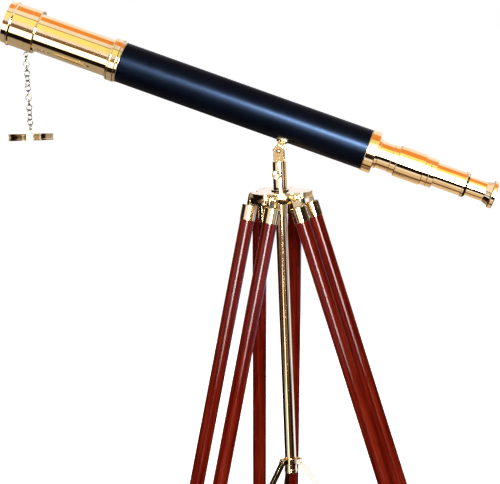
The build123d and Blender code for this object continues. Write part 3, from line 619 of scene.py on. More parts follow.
def grown(name, node, body, tree, values, place=None, points=()):
    seed = bpy.data.meshes.new(name + "Points")
    seed.from_pydata([matrix.translation for matrix in points], [], [])
    turns = seed.attributes.new("turn", "FLOAT_VECTOR", "POINT")
    for value, matrix in zip(turns.data, points):
        value.vector = matrix.to_euler()
    holder = bpy.data.objects.new(name + "Points", seed)
    bpy.context.scene.collection.objects.link(holder)
    modifier = holder.modifiers.new(name, "NODES")
    modifier.node_group = tree
    settings = dict(values, Finish=finishOf(node))
    for item in tree.interface.items_tree:
        if item.in_out == "INPUT" and item.name in settings:
            modifier[item.identifier] = settings[item.name]
    evaluated = holder.evaluated_get(bpy.context.evaluated_depsgraph_get())
    data = bpy.data.meshes.new_from_object(evaluated)
    data.name = name
    holder.modifiers.remove(modifier)
    bpy.data.objects.remove(holder)
    if place is not None:
        data.transform(place)
    return pieceFrom(data, name, node, body)


slottedScrews = screwTree()
chainOfLinks = chainTree()
knurledRim = knurlTree()
stitchedSeam = seamTree()
print("node trees built")


def screws(name, node, body, size, places):
    values = {"Radius": size["radius"], "Rise": size["rise"], "Slot": size["slot"]}
    grown(name, node, body, slottedScrews, values, points=places)


def radialScrew(name, node, body, size, place, radius):
    spot = place.inverted() @ middle(node)
    out = Vector((spot.x, spot.y, 0)).normalized()
    head = frameOf(out * radius + upward * spot.z, out, Vector(size["slotAlong"]))
    screws(name, node, body, size, [place @ head])


knurling = {"sunk": 0.5, "swell": 1.5, "clear": 3}    # shares of the knurl's depth, and of the rim's ease


def knurledKnob(name, knurlName, node, body, joint, knob, base, headFrom):
    place = jointFrame(joint)
    high, outer = span(node, place)[1::2]
    shank, knurl, ease = knob["shank"], knob["knurl"], knob["ease"]
    rim, face = outer - knurl, high - knob["dish"]
    turned(name, node, body, place, [
        (0, base, 0), (shank, base, 0), (shank, headFrom, 0), (rim, headFrom, ease), (rim, face, ease),
        (0, high, 0)], sides["rod"])
    grown(knurlName, node, body, knurledRim, {
        "Ridges": knob["ridges"], "Radius": rim - knurling["sunk"] * knurl,
        "Ridge": knurling["swell"] * knurl,
        "Length": high - headFrom - knurling["clear"] * ease}, shifted(place, z=(headFrom + face) / 2))


# Telescope tube

leatherWrap = {"ease": 0.0008, "seamTurn": 200.0, "stitch": 0.0046, "thread": 0.0008, "spacing": 0.0064,
               "fromEnds": 0.012}
ease, seamTurn, stitch, thread, spacing, fromEnds = leatherWrap.values()
pipe("leatherWrap", "leather_wrap", "tube", tubeFrame, ease, sides["tube"])
low, high = endsOf("leather_wrap", tubeFrame)
leatherRadius = outerOf("leather_wrap", tubeFrame)
grown("leatherStitches", "leather_wrap", "tube", stitchedSeam, {
    "Stitches": int((high - low - 2 * fromEnds) / spacing), "Spacing": spacing, "Length": stitch,
    "Thread": thread},
    shifted(tubeFrame, *polar(leatherRadius, math.radians(seamTurn), low + fromEnds)))

frontCollar = {"flange": 0.0056, "flangeRise": 0.0008, "ease": 0.0007, "groove": 0.0006, "bead": 0.0040,
               "beadEase": 0.0016, "seat": 0.0003}
flange, flangeRise, ease, groove, bead, beadEase, seat = frontCollar.values()
low, high, inner, outer = span("front_collar", tubeFrame)
flangeRadius, flangeFront, grooveAt = leatherRadius + flangeRise, low + flange, high - bead
turned("frontCollar", "front_collar", "tube", tubeFrame, [
    (inner, low, 0), (flangeRadius, low, ease), (flangeRadius, flangeFront, seat), (outer, flangeFront, ease),
    (outer, grooveAt - groove, seat), (outer - groove, grooveAt, seat), (outer, grooveAt + groove, seat),
    (outer, high, beadEase), (inner, high, 0)])

objectiveBarrel = {"ease": 0.0003}
pipe("objectiveBarrel", "objective_barrel", "tube", tubeFrame, objectiveBarrel["ease"], sides["tube"])

dewCap = {"ring": 0.0145, "ringRise": 0.0006, "bead": 0.0060, "beadRise": 0.0011, "beadEase": 0.0014,
          "lip": 0.0096, "lipStep": 0.0009, "wall": 0.0016, "ease": 0.0006, "seat": 0.0003}
ring, ringRise, bead, beadRise, beadEase, lipLength, lipStep, wall, ease, seat = dewCap.values()
low, high, inner, outer = span("dew_cap", tubeFrame)
shell, ringFront, lipRear = outer - beadRise, low + ring, high - lipLength
turned("dewCap", "dew_cap", "dew_shade", tubeFrame, [
    (inner, low, seat), (shell + ringRise, low, ease), (shell + ringRise, ringFront, ease),
    (shell, ringFront, seat), (shell, lipRear - bead, seat), (outer, lipRear - bead / 2, beadEase),
    (outer, lipRear, ease), (shell - lipStep, lipRear, seat), (shell - lipStep, high, ease),
    (shell - wall, high, seat), (shell - wall, ringFront, seat), (inner, ringFront, seat)], sides["tube"])

rearRing = {"boss": 0.0059, "bossRise": 0.0022, "bossEase": 0.0012, "ease": 0.0009, "floor": 0.0045,
            "overlap": 0.0016, "seat": 0.0003}
boss, bossRise, bossEase, ease, floor, overlap, seat = rearRing.values()
low, high, sleeveRadius, outer = span("rear_end_ring", tubeFrame)
bossRadius, bossFront, lining = sleeveRadius + bossRise, low + boss, leatherRadius - overlap
turned("rearEndRing", "rear_end_ring", "tube", tubeFrame, [
    (sleeveRadius, low, seat), (bossRadius, low, bossEase), (bossRadius, bossFront, seat),
    (outer, bossFront, ease), (outer, high, ease), (lining, high, 0), (lining, bossFront + floor, 0),
    (sleeveRadius, bossFront + floor, 0)])

focusSleeve = {"bead": 0.0110, "ease": 0.0005, "seat": 0.0003}
bead, ease, seat = focusSleeve.values()
low, high, inner, outer = span("focus_sleeve", tubeFrame)
gripFront, gripInner = span("grip_sleeve", tubeFrame)[1:3]
fitted, beadFront = gripInner - meshing["closeFit"], gripFront + bead
turned("focusSleeve", "focus_sleeve", "tube", tubeFrame, [
    (inner, low, 0), (fitted, low, 0), (fitted, gripFront, 0), (outer, gripFront, ease),
    (outer, beadFront, ease), (fitted, beadFront, seat), (fitted, high, 0), (inner, high, 0)])

gripSleeve = {"ease": 0.0007}
pipe("gripSleeve", "grip_sleeve", "tube", tubeFrame, gripSleeve["ease"])

guideRing = {"groove": 0.0006, "grooveAt": 0.0105, "ease": 0.0006, "floor": 0.0060, "seat": 0.0003}
groove, fromRear, ease, floor, seat = guideRing.values()
low, high, inner, guideRadius = span("guide_ring", tubeFrame)
grooveAt = low + fromRear
turned("guideRing", "guide_ring", "tube", tubeFrame, [
    (inner, low, seat), (guideRadius, low, ease), (guideRadius, grooveAt, seat),
    (guideRadius - groove, grooveAt + groove, seat), (guideRadius, grooveAt + 2 * groove, seat),
    (guideRadius, high, seat), (sleeveRadius, high, 0), (sleeveRadius, low + floor, 0),
    (inner, low + floor, 0)])

drawTube = {"ease": 0.0002, "bushTaper": 0.0034, "bushEase": 0.0018, "bushRim": 0.0010, "seat": 0.0005}
ease, bushTaper, bushEase, bushRim, seat = drawTube.values()
pipe("drawTube", "draw_tube", "draw", tubeFrame, ease)
low, high, inner, outer = span("draw_tube_bush", tubeFrame)
drawRear, drawInner = span("draw_tube", tubeFrame)[0::2]
plug = drawInner - meshing["closeFit"]
turned("drawTubeBush", "draw_tube_bush", "draw", tubeFrame, [
    (inner, low, seat), (outer - bushTaper, low, bushRim), (outer, (low + drawRear) / 2, bushEase),
    (outer, drawRear, seat), (plug, drawRear, 0), (plug, high, 0), (inner, high, 0)])

eyecup = {"flange": 0.0082, "dish": 0.0050, "hole": 0.0070, "mouth": 0.0035, "lensSeat": 0.01202,
          "ease": 0.0012, "fillet": 0.0018, "barrelEase": 0.0002}
flange, dish, hole, mouth, lensSeat, ease, fillet, barrelEase = eyecup.values()
pipe("eyepieceBarrel", "eyepiece_barrel", "eyepiece", tubeFrame, barrelEase)
barrelRear, barrelInner = span("eyepiece_barrel", tubeFrame)[0::2]
barrelOuter = outerOf("eyepiece_barrel", tubeFrame)
low, high = endsOf("eyecup", tubeFrame)
outer = outerOf("eyecup", tubeFrame)
cupRadius, plug, flangeFront = outer - mouth, barrelInner - meshing["closeFit"], low + flange
turned("eyecup", "eyecup", "eyepiece", tubeFrame, [
    (hole, low + dish, barrelEase), (cupRadius, low, ease), (outer, low, ease), (outer, flangeFront, ease),
    (cupRadius, flangeFront, fillet), (barrelOuter, barrelRear, fillet), (plug, barrelRear, 0),
    (plug, high, 0), (lensSeat, high, 0), (lensSeat, flangeFront, 0), (hole, flangeFront, 0)])
print("tube turned")

# Saddle under the tube, its screws and the guide ring's screw

saddle = {"inside": 0.03812, "outside": 0.04112, "halfTurn": 37.0, "halfLength": 0.010, "ease": 0.0006,
          "tongueHalf": 0.004, "neckHalf": 0.007, "endRadius": 0.0094, "hole": 0.00255, "steps": 24}
inside, outside, halfTurn, halfLength, ease, tongueHalf, neckHalf, endRadius, hole, steps = saddle.values()
mesh = bmesh.new()
plan = arc((0, 0), outside, 180 - halfTurn, 180 + halfTurn, steps)
plan += arc((0, 0), inside, 180 + halfTurn, 180 - halfTurn, steps)
slab(mesh, saddleFrame, plan, -halfLength, halfLength, ease)
drop = (saddleFrame.inverted() @ pivot).x
neck = math.degrees(math.asin(neckHalf / endRadius))
tongueTop = -(inside + outside) / 2
plan = [(tongueTop, -neckHalf), (tongueTop, neckHalf)] + arc((drop, 0), endRadius, neck, 360 - neck, steps)
slab(mesh, saddleFrame @ uprightSlab, plan, -tongueHalf, tongueHalf, ease, [circle((drop, 0), hole, steps)])
closePiece(mesh, "saddle", "saddle", "tube")

saddleScrews = {"radius": 0.0025, "rise": 0.0014, "slot": 0.0007, "turn": 24.0, "halfPitch": 0.0045}
places = []
for side in (-1, 1):
    out = polar(1, math.radians(180 + side * saddleScrews["turn"]))
    for along in (-saddleScrews["halfPitch"], saddleScrews["halfPitch"]):
        places.append(saddleFrame @ frameOf(out * outside + upward * along, out, upward))
screws("saddleScrews", "saddle_screws", "tube", saddleScrews, places)

guideScrew = {"radius": 0.0026, "rise": 0.0017, "slot": 0.0008, "slotAlong": (0, 1, 1)}
radialScrew("guideScrew", "guide_screw", "tube", guideScrew, tubeFrame, guideRadius)

# Yoke, tilt bolt and wing nut

yoke = {"stemRadius": 0.0095, "gap": 0.0003, "half": 0.010, "slotHalf": 0.0043, "depthHalf": 0.0095,
        "drop": 0.011, "ease": 0.0008, "steps": 28}
stemRadius, gap, half, slotHalf, depthHalf, drop, ease, steps = yoke.values()
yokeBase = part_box("post_sleeve")[1].z + gap
base = yokeBase - pivot.z
mesh = bmesh.new()
stem = rodOutline(stemRadius, span("yoke", columnFrame)[0], yokeBase + ease, ease)
lathe(mesh, columnFrame, stem, sides["rod"])
web = rectangle(ease - half, half - ease, base + ease / 2, -drop, ease / 2)
slab(mesh, pivotFrame @ uprightSlab, web, -slotHalf - ease, slotHalf + ease, ease / 2)
plan = [(-half, base), (half, base)] + arc((0, 0), half, 0, 180, steps)
cheeks(mesh, pivotFrame, plan, slotHalf, depthHalf, ease)
closePiece(mesh, "yoke", "yoke", "yoke")

tiltBolt = {"radius": 0.0025, "headRadius": 0.0043, "headRise": 0.0030, "ease": 0.0003, "steps": 8}
boltRadius, headRadius, headRise, ease, steps = tiltBolt.values()
boltLathe = pivotFrame @ sidewaysLathe
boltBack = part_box("tilt_bolt")[1].y - pivot.y
stem = rodOutline(boltRadius, -depthHalf, boltBack, ease)
turned("tiltBolt", "tilt_bolt", "yoke", boltLathe, stem, sides["bolt"])
turned("tiltBoltHead", "tilt_bolt", "yoke", frameOf(pivot - across * depthHalf, -across, upward),
       [(0, 0, 0)] + domeOutline(headRadius, headRise, steps), sides["bolt"])

wingNut = {"bore": 0.0026, "hubRadius": 0.0055, "hubTop": 0.0042, "wingFrom": 0.0040, "wingHalf": 0.0015,
           "wingLow": 0.0065, "corner": 0.0030, "ease": 0.0006}
bore, hubRadius, hubTop, wingFrom, wingHalf, wingLow, corner, ease = wingNut.values()
nutFrom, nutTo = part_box("tilt_wing_nut")
nutLow, nutHigh, wingReach = nutFrom.y - pivot.y, nutTo.y - pivot.y, (nutTo.x - nutFrom.x) / 2
mesh = bmesh.new()
lathe(mesh, boltLathe, [
    (bore, nutLow, 0), (hubRadius, nutLow, ease), (hubRadius, nutHigh - wingLow, ease),
    (hubTop, nutHigh, ease), (bore, nutHigh, 0)], sides["bolt"])
wing = rectangle(wingFrom, wingReach, nutHigh - wingLow, nutHigh, corner)
for turn in (0, math.pi):
    slab(mesh, pivotFrame @ Matrix.Rotation(turn, 4, "Y"), wing, -wingHalf, wingHalf, ease)
closePiece(mesh, "tiltWingNut", "tilt_wing_nut", "wing_nut")

# Post sleeve and its thumbscrew

postSleeve = {"radius": 0.01285, "flange": 0.0025, "ease": 0.0006}
postRadius, flange, ease = postSleeve.values()
low, high, inner, outer = span("post_sleeve", columnFrame)
columnBore, columnRadius = span("column", columnFrame)[2:]
flangeTop = headTop + flange
turned("postSleeve", "post_sleeve", "stand", columnFrame, [
    (inner, low, 0), (columnRadius, low, 0), (columnRadius, headTop, 0), (outer, headTop, 0),
    (outer, flangeTop, ease), (postRadius, flangeTop, ease), (postRadius, high, ease), (inner, high, ease)],
    sides["column"])

thumbscrew = {"shank": 0.0030, "headFrom": 0.01985, "knurl": 0.00035, "dish": 0.0010, "ease": 0.0008,
              "ridges": 44}
knurledKnob("panThumbscrew", "thumbscrewKnurl", "pan_thumbscrew", "pan_screw", "pan_screw_turn", thumbscrew,
            postRadius, thumbscrew["headFrom"])
print("yoke and post built")

# Tripod head, hinge pins, eye straps and the set screw

head = {"disc": 0.046, "lugHalf": 0.025, "reach": 0.060, "corner": 0.009, "slotFrom": 0.0327, "ease": 0.0009,
        "steps": 10, "discSteps": 14}
disc, lugHalf, reach, corner, slotFrom, ease, steps, discSteps = head.values()
discSide = math.sqrt(disc ** 2 - slotFrom ** 2)
discTurn = math.degrees(math.atan2(discSide, slotFrom))
cornerY = lugHalf - corner
cornerX = math.sqrt((reach - corner) ** 2 - cornerY ** 2)
endTurn = math.degrees(math.atan2(cornerY, cornerX))
lugPlan = [(slotFrom, -discSide), (slotFrom, -lugHalf)]
lugPlan += arc((cornerX, -cornerY), corner, -90, -endTurn, steps)
lugPlan += arc((0, 0), reach, -endTurn, endTurn, steps)[1:-1]
lugPlan += arc((cornerX, cornerY), corner, endTurn, 90, steps)
lugPlan += [(slotFrom, lugHalf), (slotFrom, discSide)]
fromColumn = [placeOf(f"leg_{number}_fold") - columnFoot for number in legNumbers]
lugTurns = sorted(math.degrees(math.atan2(place.y, place.x)) % 360 for place in fromColumn)
plan = []
for turn, nextTurn in zip(lugTurns, lugTurns[1:] + [lugTurns[0] + 360]):
    spin = Matrix.Rotation(math.radians(turn), 2)
    plan += [tuple(spin @ Vector(point)) for point in lugPlan]
    plan += arc((0, 0), disc, turn + discTurn, nextTurn - discTurn, discSteps)[1:-1]
mesh = bmesh.new()
slab(mesh, columnFrame, plan, headBottom, headTop, ease)
closePiece(mesh, "tripodHead", "tripod_head", "stand")

hingePins = {"radius": 0.004, "reach": 0.0336}
pinHeads = {"radius": 0.0065, "rise": 0.0045, "slot": 0.0014, "slotAlong": (1, 1, 2)}
pinRadius, reach = hingePins.values()
mesh = bmesh.new()
places = []
for number in legNumbers:
    joint = f"leg_{number}_fold"
    lathe(mesh, jointFrame(joint), rodOutline(pinRadius, -reach, reach), sides["hinge"])
    for out in (-axisOf(joint), axisOf(joint)):
        places.append(frameOf(placeOf(joint) + out * reach, out, Vector(pinHeads["slotAlong"])))
closePiece(mesh, "hingePins", "hinge_pins", "stand")
screws("hingePinHeads", "hinge_pins", "stand", pinHeads, places)

eyeStraps = {"face": 0.0495, "thickness": 0.003, "half": 0.005, "drop": 0.038, "foot": 0.012, "hole": 0.002,
             "ease": 0.0007, "steps": 16}
face, thickness, half, drop, strapFoot, hole, ease, steps = eyeStraps.values()
top = headBottom - headTop
tip = top - drop + half
plan = [(half, top), (-half, top)] + arc((0, tip), half, 180, 360, steps)
flat = rectangle(face - strapFoot, face, -half, half, ease)
mesh = bmesh.new()
for number in legNumbers:
    place = frameOf(headCentre, upward, axisOf(f"leg_{number}_fold"))
    slab(mesh, place @ facingSlab, plan, face - thickness, face, ease, [circle((0, tip), hole, steps)])
    slab(mesh, place, flat, top - thickness, top, ease)
closePiece(mesh, "eyeStraps", "eye_straps", "stand")

setScrew = {"radius": 0.0035, "rise": 0.0022, "slot": 0.0009, "slotAlong": (0, 1, 2)}
radialScrew("columnSetScrew", "column_set_screw", "stand", setScrew, columnFrame, disc)

# Column, end cap, spreader hub and arms

column = {"ease": 0.0002, "capThickness": 0.003, "capEase": 0.0010}
ease, capThickness, capEase = column.values()
pipe("column", "column", "stand", columnFrame, ease, sides["column"])
low, high = endsOf("column_end_cap", columnFrame)
outer = outerOf("column_end_cap", columnFrame)
plug, rimTop = columnBore - meshing["closeFit"], low + capThickness
turned("columnEndCap", "column_end_cap", "stand", columnFrame, [
    (0, low, 0), (outer, low, capEase), (outer, rimTop, ease), (plug, rimTop, 0), (plug, high, 0),
    (0, high, 0)], sides["column"])

spreaderHub = {"bore": 0.01105, "radius": 0.01275, "cheekFrom": 0.0043, "cheekTo": 0.0073,
               "cheekRadius": 0.005, "cheekRoot": 0.0103, "pinRadius": 0.002, "pinEase": 0.0003,
               "foot": 0.0040, "collar": 0.0115, "waist": 0.0009, "ease": 0.0005, "steps": 14}
(bore, radius, cheekFrom, cheekTo, cheekRadius, cheekRoot, pinRadius, pinEase, hubFoot, collar, waist, ease,
 steps) = spreaderHub.values()
low, high = (end.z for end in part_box("spreader_hub"))
footTop, collarLow, slim = low + hubFoot, high - collar, radius - waist
mesh, pins = bmesh.new(), bmesh.new()
lathe(mesh, columnFrame, [
    (bore, low, 0), (radius, low, ease), (radius, footTop, ease), (slim, footTop + waist, ease),
    (slim, collarLow - waist, ease), (radius, collarLow, ease), (radius, high, ease),
    (bore, high, 0)], sides["rod"])
for number in legNumbers:
    joint = f"arm_{number}_swing"
    place = frameOf(columnFoot + upward * placeOf(joint).z, upward, axisOf(joint))
    reach = (place.inverted() @ placeOf(joint)).x
    plan = [(cheekRoot, cheekRadius), (cheekRoot, -cheekRadius)]
    plan += arc((reach, 0), cheekRadius, -90, 90, steps)
    cheeks(mesh, place, plan, cheekFrom, cheekTo, ease)
    lathe(pins, jointFrame(joint), rodOutline(pinRadius, -cheekTo, cheekTo, pinEase), sides["pin"])
closePiece(mesh, "spreaderHub", "spreader_hub", "hub")
closePiece(pins, "hubPins", "hub_pins", "hub")

spreaderArm = {"half": 0.0045, "thickHalf": 0.004, "eyeHalf": 0.0075, "eyeRim": 0.0026, "slotHalf": 0.0044,
               "slotCorner": 0.001, "eyeLength": 0.0287, "hole": 0.00205, "corner": 0.003, "ease": 0.0003,
               "steps": 14}
(half, thickHalf, eyeHalf, eyeRim, slotHalf, slotCorner, eyeLength, hole, corner, ease,
 steps) = spreaderArm.values()
for number in legNumbers:
    node, joint = f"spreader_arm_{number}", f"arm_{number}_swing"
    vertices = frame["nodes"][node].data.vertices
    centre = sum((vertex.co for vertex in vertices), Vector()) / len(vertices)
    place = frameOf(placeOf(joint), placeOf(joint) - centre, axisOf(joint))
    low = span(node, place)[0]
    eyeTop = low + eyeLength
    eye = rectangle(-eyeHalf, eyeHalf, low, eyeTop, corner)
    halfway = len(eye) // 2
    plan = eye[:halfway - 1] + [(half, eyeTop)] + arc((0, 0), half, 0, 180, steps) + [(-half, eyeTop)]
    plan += eye[halfway + 1:]
    slot = rectangle(-slotHalf, slotHalf, low + eyeRim, eyeTop - 2 * eyeRim, slotCorner)
    mesh = bmesh.new()
    holes = [circle((0, 0), hole, sides["stem"]), slot]
    slab(mesh, place @ uprightSlab, plan, -thickHalf, thickHalf, ease, holes)
    closePiece(mesh, f"spreaderArm{number}", node, f"arm_{number}")
print("head and spreader built")

# Legs: mahogany rods, ferrules, brackets, feet and clamp knobs

rods = {"spread": 0.03415, "radius": 0.01355, "ease": 0.0008, "seed": 7}
grainDraw = random.Random(rods["seed"])


def mahoganyRod(name, node, body, place, radius, low, high):
    mesh = bmesh.new()
    lathe(mesh, place, rodOutline(radius, low, high, rods["ease"]), sides["rod"])
    piece = closePiece(mesh, name, node, body)
    shift = Vector((grainDraw.uniform(-1, 1), grainDraw.uniform(-1, 1), grainDraw.uniform(-1, 1)))
    inverse = place.inverted()
    grain = piece.data.attributes.new("grain", "FLOAT_VECTOR", "POINT")
    for vertex, value in zip(piece.data.vertices, grain.data):
        value.vector = inverse @ vertex.co + shift


def twinFrames(place):
    return [shifted(place, y=side * rods["spread"]) for side in (-1, 1)]


ferrule = {"radius": 0.01457, "drop": 0.017, "length": 0.0287, "cap": 0.0035, "ease": 0.0011,
           "lipEase": 0.0004, "earFrom": 0.0253, "earTo": 0.0333, "earRadius": 0.009, "hole": 0.00405,
           "earEase": 0.0009, "steps": 24}


def legFerrules(number, place):
    (radius, drop, length, cap, ease, lipEase, earFrom, earTo, earRadius, hole, earEase,
     steps) = ferrule.values()
    top, roof, bottom = -drop, -drop - cap, -drop - length
    mesh = bmesh.new()
    for stand in twinFrames(place):
        lathe(mesh, stand, [
            (0, roof, 0), (rods["radius"], roof, 0), (rods["radius"], bottom, 0), (radius, bottom, lipEase),
            (radius, top, ease), (0, top, 0)], sides["rod"])
    plan = [(-earRadius, roof), (earRadius, roof)] + arc((0, 0), earRadius, 0, 180, steps)
    cheeks(mesh, place, plan, earFrom, earTo, earEase, [circle((0, 0), hole, steps)])
    closePiece(mesh, f"legFerrules{number}", f"leg_{number}_ferrules", f"leg_{number}", place)


bracket = {"height": 0.056, "floor": 0.004, "cupRadius": 0.01617, "guideBore": 0.01305,
           "guideRadius": 0.01565, "webHalf": 0.008, "ease": 0.0009, "cheekFrom": 0.0043, "cheekTo": 0.0073,
           "cheekRadius": 0.005, "pivotIn": 0.030, "pivotRise": 0.0029, "pinRadius": 0.002, "steps": 14,
           "bossRadius": 0.007, "bossBore": 0.00305, "bossFace": 0.02165}


def legBracket(number, place):
    (height, floor, cupRadius, guideBore, guideRadius, webHalf, ease, cheekFrom, cheekTo, cheekRadius,
     pivotIn, pivotRise, pinRadius, steps, bossRadius, bossBore, bossFace) = bracket.values()
    low = span(f"leg_{number}_bracket", place)[0]
    high, floorTop, pivotHeight = low + height, low + floor, low + height + pivotRise
    root, webEnd, back = guideRadius - ease, rods["spread"] - rods["radius"] - ease, -guideBore - ease
    mesh = bmesh.new()
    for stand in twinFrames(place):
        lathe(mesh, stand, [
            (0, low, 0), (cupRadius, low, ease), (cupRadius, high, ease), (rods["radius"], high, 0),
            (rods["radius"], floorTop, 0), (0, floorTop, 0)], sides["rod"])
    for edges in ((root, webEnd), (-webEnd, -root)):
        slab(mesh, place, rectangle(-webHalf, webHalf, *edges), low, high, ease)
    lathe(mesh, place, [
        (guideBore, low, 0), (guideRadius, low, ease), (guideRadius, high, ease),
        (guideBore, high, 0)], sides["rod"])
    plan = [(-pivotIn, low), (back, low), (back, pivotHeight + cheekRadius)]
    plan += arc((-pivotIn, pivotHeight), cheekRadius, 90, 270, steps)
    cheeks(mesh, place, plan, cheekFrom, cheekTo, ease / 2)
    pin = shifted(place, x=-pivotIn, z=pivotHeight) @ sidewaysLathe
    lathe(mesh, pin, rodOutline(pinRadius, -cheekTo, cheekTo), sides["pin"])
    lathe(mesh, jointFrame(f"leg_{number}_knob_turn"), [
        (bossBore, root, 0), (bossRadius, root, 0), (bossRadius, bossFace, ease), (bossBore, bossFace, 0)],
        sides["ring"])
    closePiece(mesh, f"legBracket{number}", f"leg_{number}_bracket", f"leg_{number}", place)


foot = {"tip": 0.012, "rim": 0.005, "rimRise": 0.0012, "ease": 0.0008}


def legFoot(number, place, rodRadius, rodLow):
    tip, rim, rimRise, ease = foot.values()
    node = f"leg_{number}_foot"
    high, outer = span(node, place)[1::2]
    wall, rimLow, seat = outer - rimRise, high - rim, rodRadius + meshing["closeFit"]
    floorAt = -(place.translation.z / place.to_3x3().col[2].z)
    low = floorAt - 2 * wall
    mesh = bmesh.new()
    lathe(mesh, place, [
        (0, low, 0), (tip, low, 0), (tip, floorAt, ease), (wall, rodLow, ease), (wall, rimLow, ease / 2),
        (outer, rimLow, ease), (outer, high, ease), (seat, high, 0), (seat, rodLow, 0),
        (0, rodLow, 0)], sides["rod"])
    everything = list(mesh.verts) + list(mesh.edges) + list(mesh.faces)
    cut = bmesh.ops.bisect_plane(mesh, geom=everything, plane_co=(0, 0, 0), plane_no=upward, clear_inner=True)
    sole = [item for item in cut["geom_cut"] if isinstance(item, bmesh.types.BMEdge)]
    bmesh.ops.holes_fill(mesh, edges=sole, sides=0)
    closePiece(mesh, f"foot{number}", node, f"lower_{number}", place)


clampKnob = {"shank": 0.003, "stand": 0.003, "knurl": 0.0004, "dish": 0.0, "ease": 0.0012, "ridges": 40}
for number in legNumbers:
    leg, lower = f"leg_{number}", f"lower_{number}"
    place = frameOf(placeOf(leg + "_fold"), axisOf(leg + "_extend"), axisOf(leg + "_fold"))
    low, high = endsOf(leg + "_rods", place)
    for label, stand in zip(("rodLeft", "rodRight"), twinFrames(place)):
        mahoganyRod(f"{label}{number}", leg + "_rods", leg, stand, rods["radius"], low, high)
    low, high = endsOf(leg + "_lower_rod", place)
    lowerRadius = outerOf(leg + "_lower_rod", place)
    mahoganyRod(f"lowerRod{number}", leg + "_lower_rod", lower, place, lowerRadius, low, high)
    legFerrules(number, place)
    legBracket(number, place)
    knurledKnob(f"clampKnob{number}", f"clampKnurl{number}", leg + "_clamp_knob", f"knob_{number}",
                leg + "_knob_turn", clampKnob, bracket["guideRadius"],
                bracket["bossFace"] + clampKnob["stand"])
    legFoot(number, place, lowerRadius, low)
print("legs built")

# Chain and dust cap

chain = {"links": 15, "length": 0.0129, "width": 0.0124, "wire": 0.0017, "pitch": 0.0092, "extraTurn": 180.0}
links, length, width, wire, pitch, extraTurn = chain.values()
chainTop = Vector((*middle("chain_links").xy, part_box("chain_links")[1].z - length / 2))
grown("chainLinks", "chain_links", "chain", chainOfLinks, {
    "Links": links, "Pitch": pitch, "Length": length, "Width": width, "Wire": wire,
    "Turn": math.radians(90 + extraTurn / (links - 1))}, Matrix.Translation(chainTop))

eyelet = {"radius": 0.004, "wire": 0.0008, "stemRadius": 0.0013, "reach": 0.0068, "capReach": 0.0056}
eyeRadius, wire, stemRadius, reach, capReach = eyelet.values()
ringCentre, tubeUp = placeOf("chain_swing"), tubeFrame.to_3x3().col[0]
mesh = bmesh.new()
ringInto(mesh, frameOf(ringCentre, across, upward), eyeRadius, wire)
lathe(mesh, frameOf(ringCentre, tubeUp, across), rodOutline(stemRadius, eyeRadius, reach), sides["stem"])
closePiece(mesh, "chainEyelet", "chain_eyelet", "dew_shade")

dustCap = {"drop": 0.005, "height": 0.013, "roof": 0.0022, "bead": 0.0030, "groove": 0.0006, "ease": 0.0007}
drop, height, roof, bead, groove, ease = dustCap.values()
mouth = mounts["dust_cap_mouth"]["dims"]["r_mm"] / 1000
outer = (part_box("dust_cap")[1].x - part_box("dust_cap")[0].x) / 2
top, under, low = -drop, -drop - roof, -drop - height
waist, soft = outer - groove, ease / 2
mesh = bmesh.new()
lathe(mesh, capFrame, [
    (0, under, 0), (mouth, under, 0), (mouth, low, 0), (outer, low, ease), (outer, low + bead, soft),
    (waist, low + bead + groove, soft), (waist, top - bead - groove, soft), (outer, top - bead, soft),
    (outer, top, ease), (0, top, 0)], sides["wide"])
capAcross, capUp = capFrame.to_3x3().col[1], capFrame.to_3x3().col[2]
ringInto(mesh, frameOf(capFrame.translation, capAcross, capUp), eyeRadius, wire)
lathe(mesh, capFrame, rodOutline(stemRadius, -capReach, -eyeRadius), sides["stem"])
closePiece(mesh, "dustCap", "dust_cap", "cap", capFrame)
print("chain and dust cap hung")

# Floor, lamps and the white room

studio = {
    "floorSize": 60.0,
    "floorColour": (0.86, 0.86, 0.86, 1),
    "floorRough": 0.9,
    "floorLift": 0.92,
    "white": (1, 1, 1, 1),
    "room": 0.14,
    "shine": 3.0,
    "softBox": (Vector((0.80, -3.60, 2.54)), (0.70, 0.45)),    # lamps: place, then width and height
    "softBoxPower": 138.0,
    "glintPower": 620.0,
    "backFill": (Vector((-0.60, 3.60, 1.90)), (1.40, 1.40)),
    "backFillPower": 75.0,
    "tubeView": (0.08, 0.20, 0.26),    # mirrored directions square to the tube, within these limits
    "capView": (-0.122, -0.114, 0.06, 0.10),    # nearly level ones
    "postView": (-0.18, -0.145, -0.122, -0.114),
    "columnView": (-0.27, -0.25, -0.18, -0.145),    # those a little below
    "footView": (-0.40, -0.36, -0.27, -0.25),    # and those below these
    "middleView": (0.006, 0.016),    # from the eye end's directions to the middle's
    "frontView": (0.158, 0.168),    # and from there to the objective end's
    "windowTurn": (-15.0, -9.0, 17.0, 24.0),
    "windowRise": (0.0, 3.0, 15.0, 19.0),
    "windowAlong": (0.10, 0.14),
    "window": 20.0,
    "legAlong": (-0.04, -0.015),
    "legWindow": 46.0,
    "sillRise": (-9.0, -5.0, 0.0, 3.0),
    "sillAlong": (-0.03, 0.0),
}
# Plain cards stand round the object, for the polished metal to mirror
cards = {
    "black": (0.01, 0.006, 0.005), "shade": (0.05, 0.04, 0.035), "brown": (0.24, 0.15, 0.10),
    "grey": (0.45, 0.40, 0.37), "tan": (0.82, 0.64, 0.50), "orange": (1.0, 0.38, 0.09),
    "yellow": (1.2, 1.15, 0.5), "pale": (1.1, 1.05, 1.2), "sky": (1.1, 1.35, 2.2), "white": (3.0, 3.0, 3.0)}
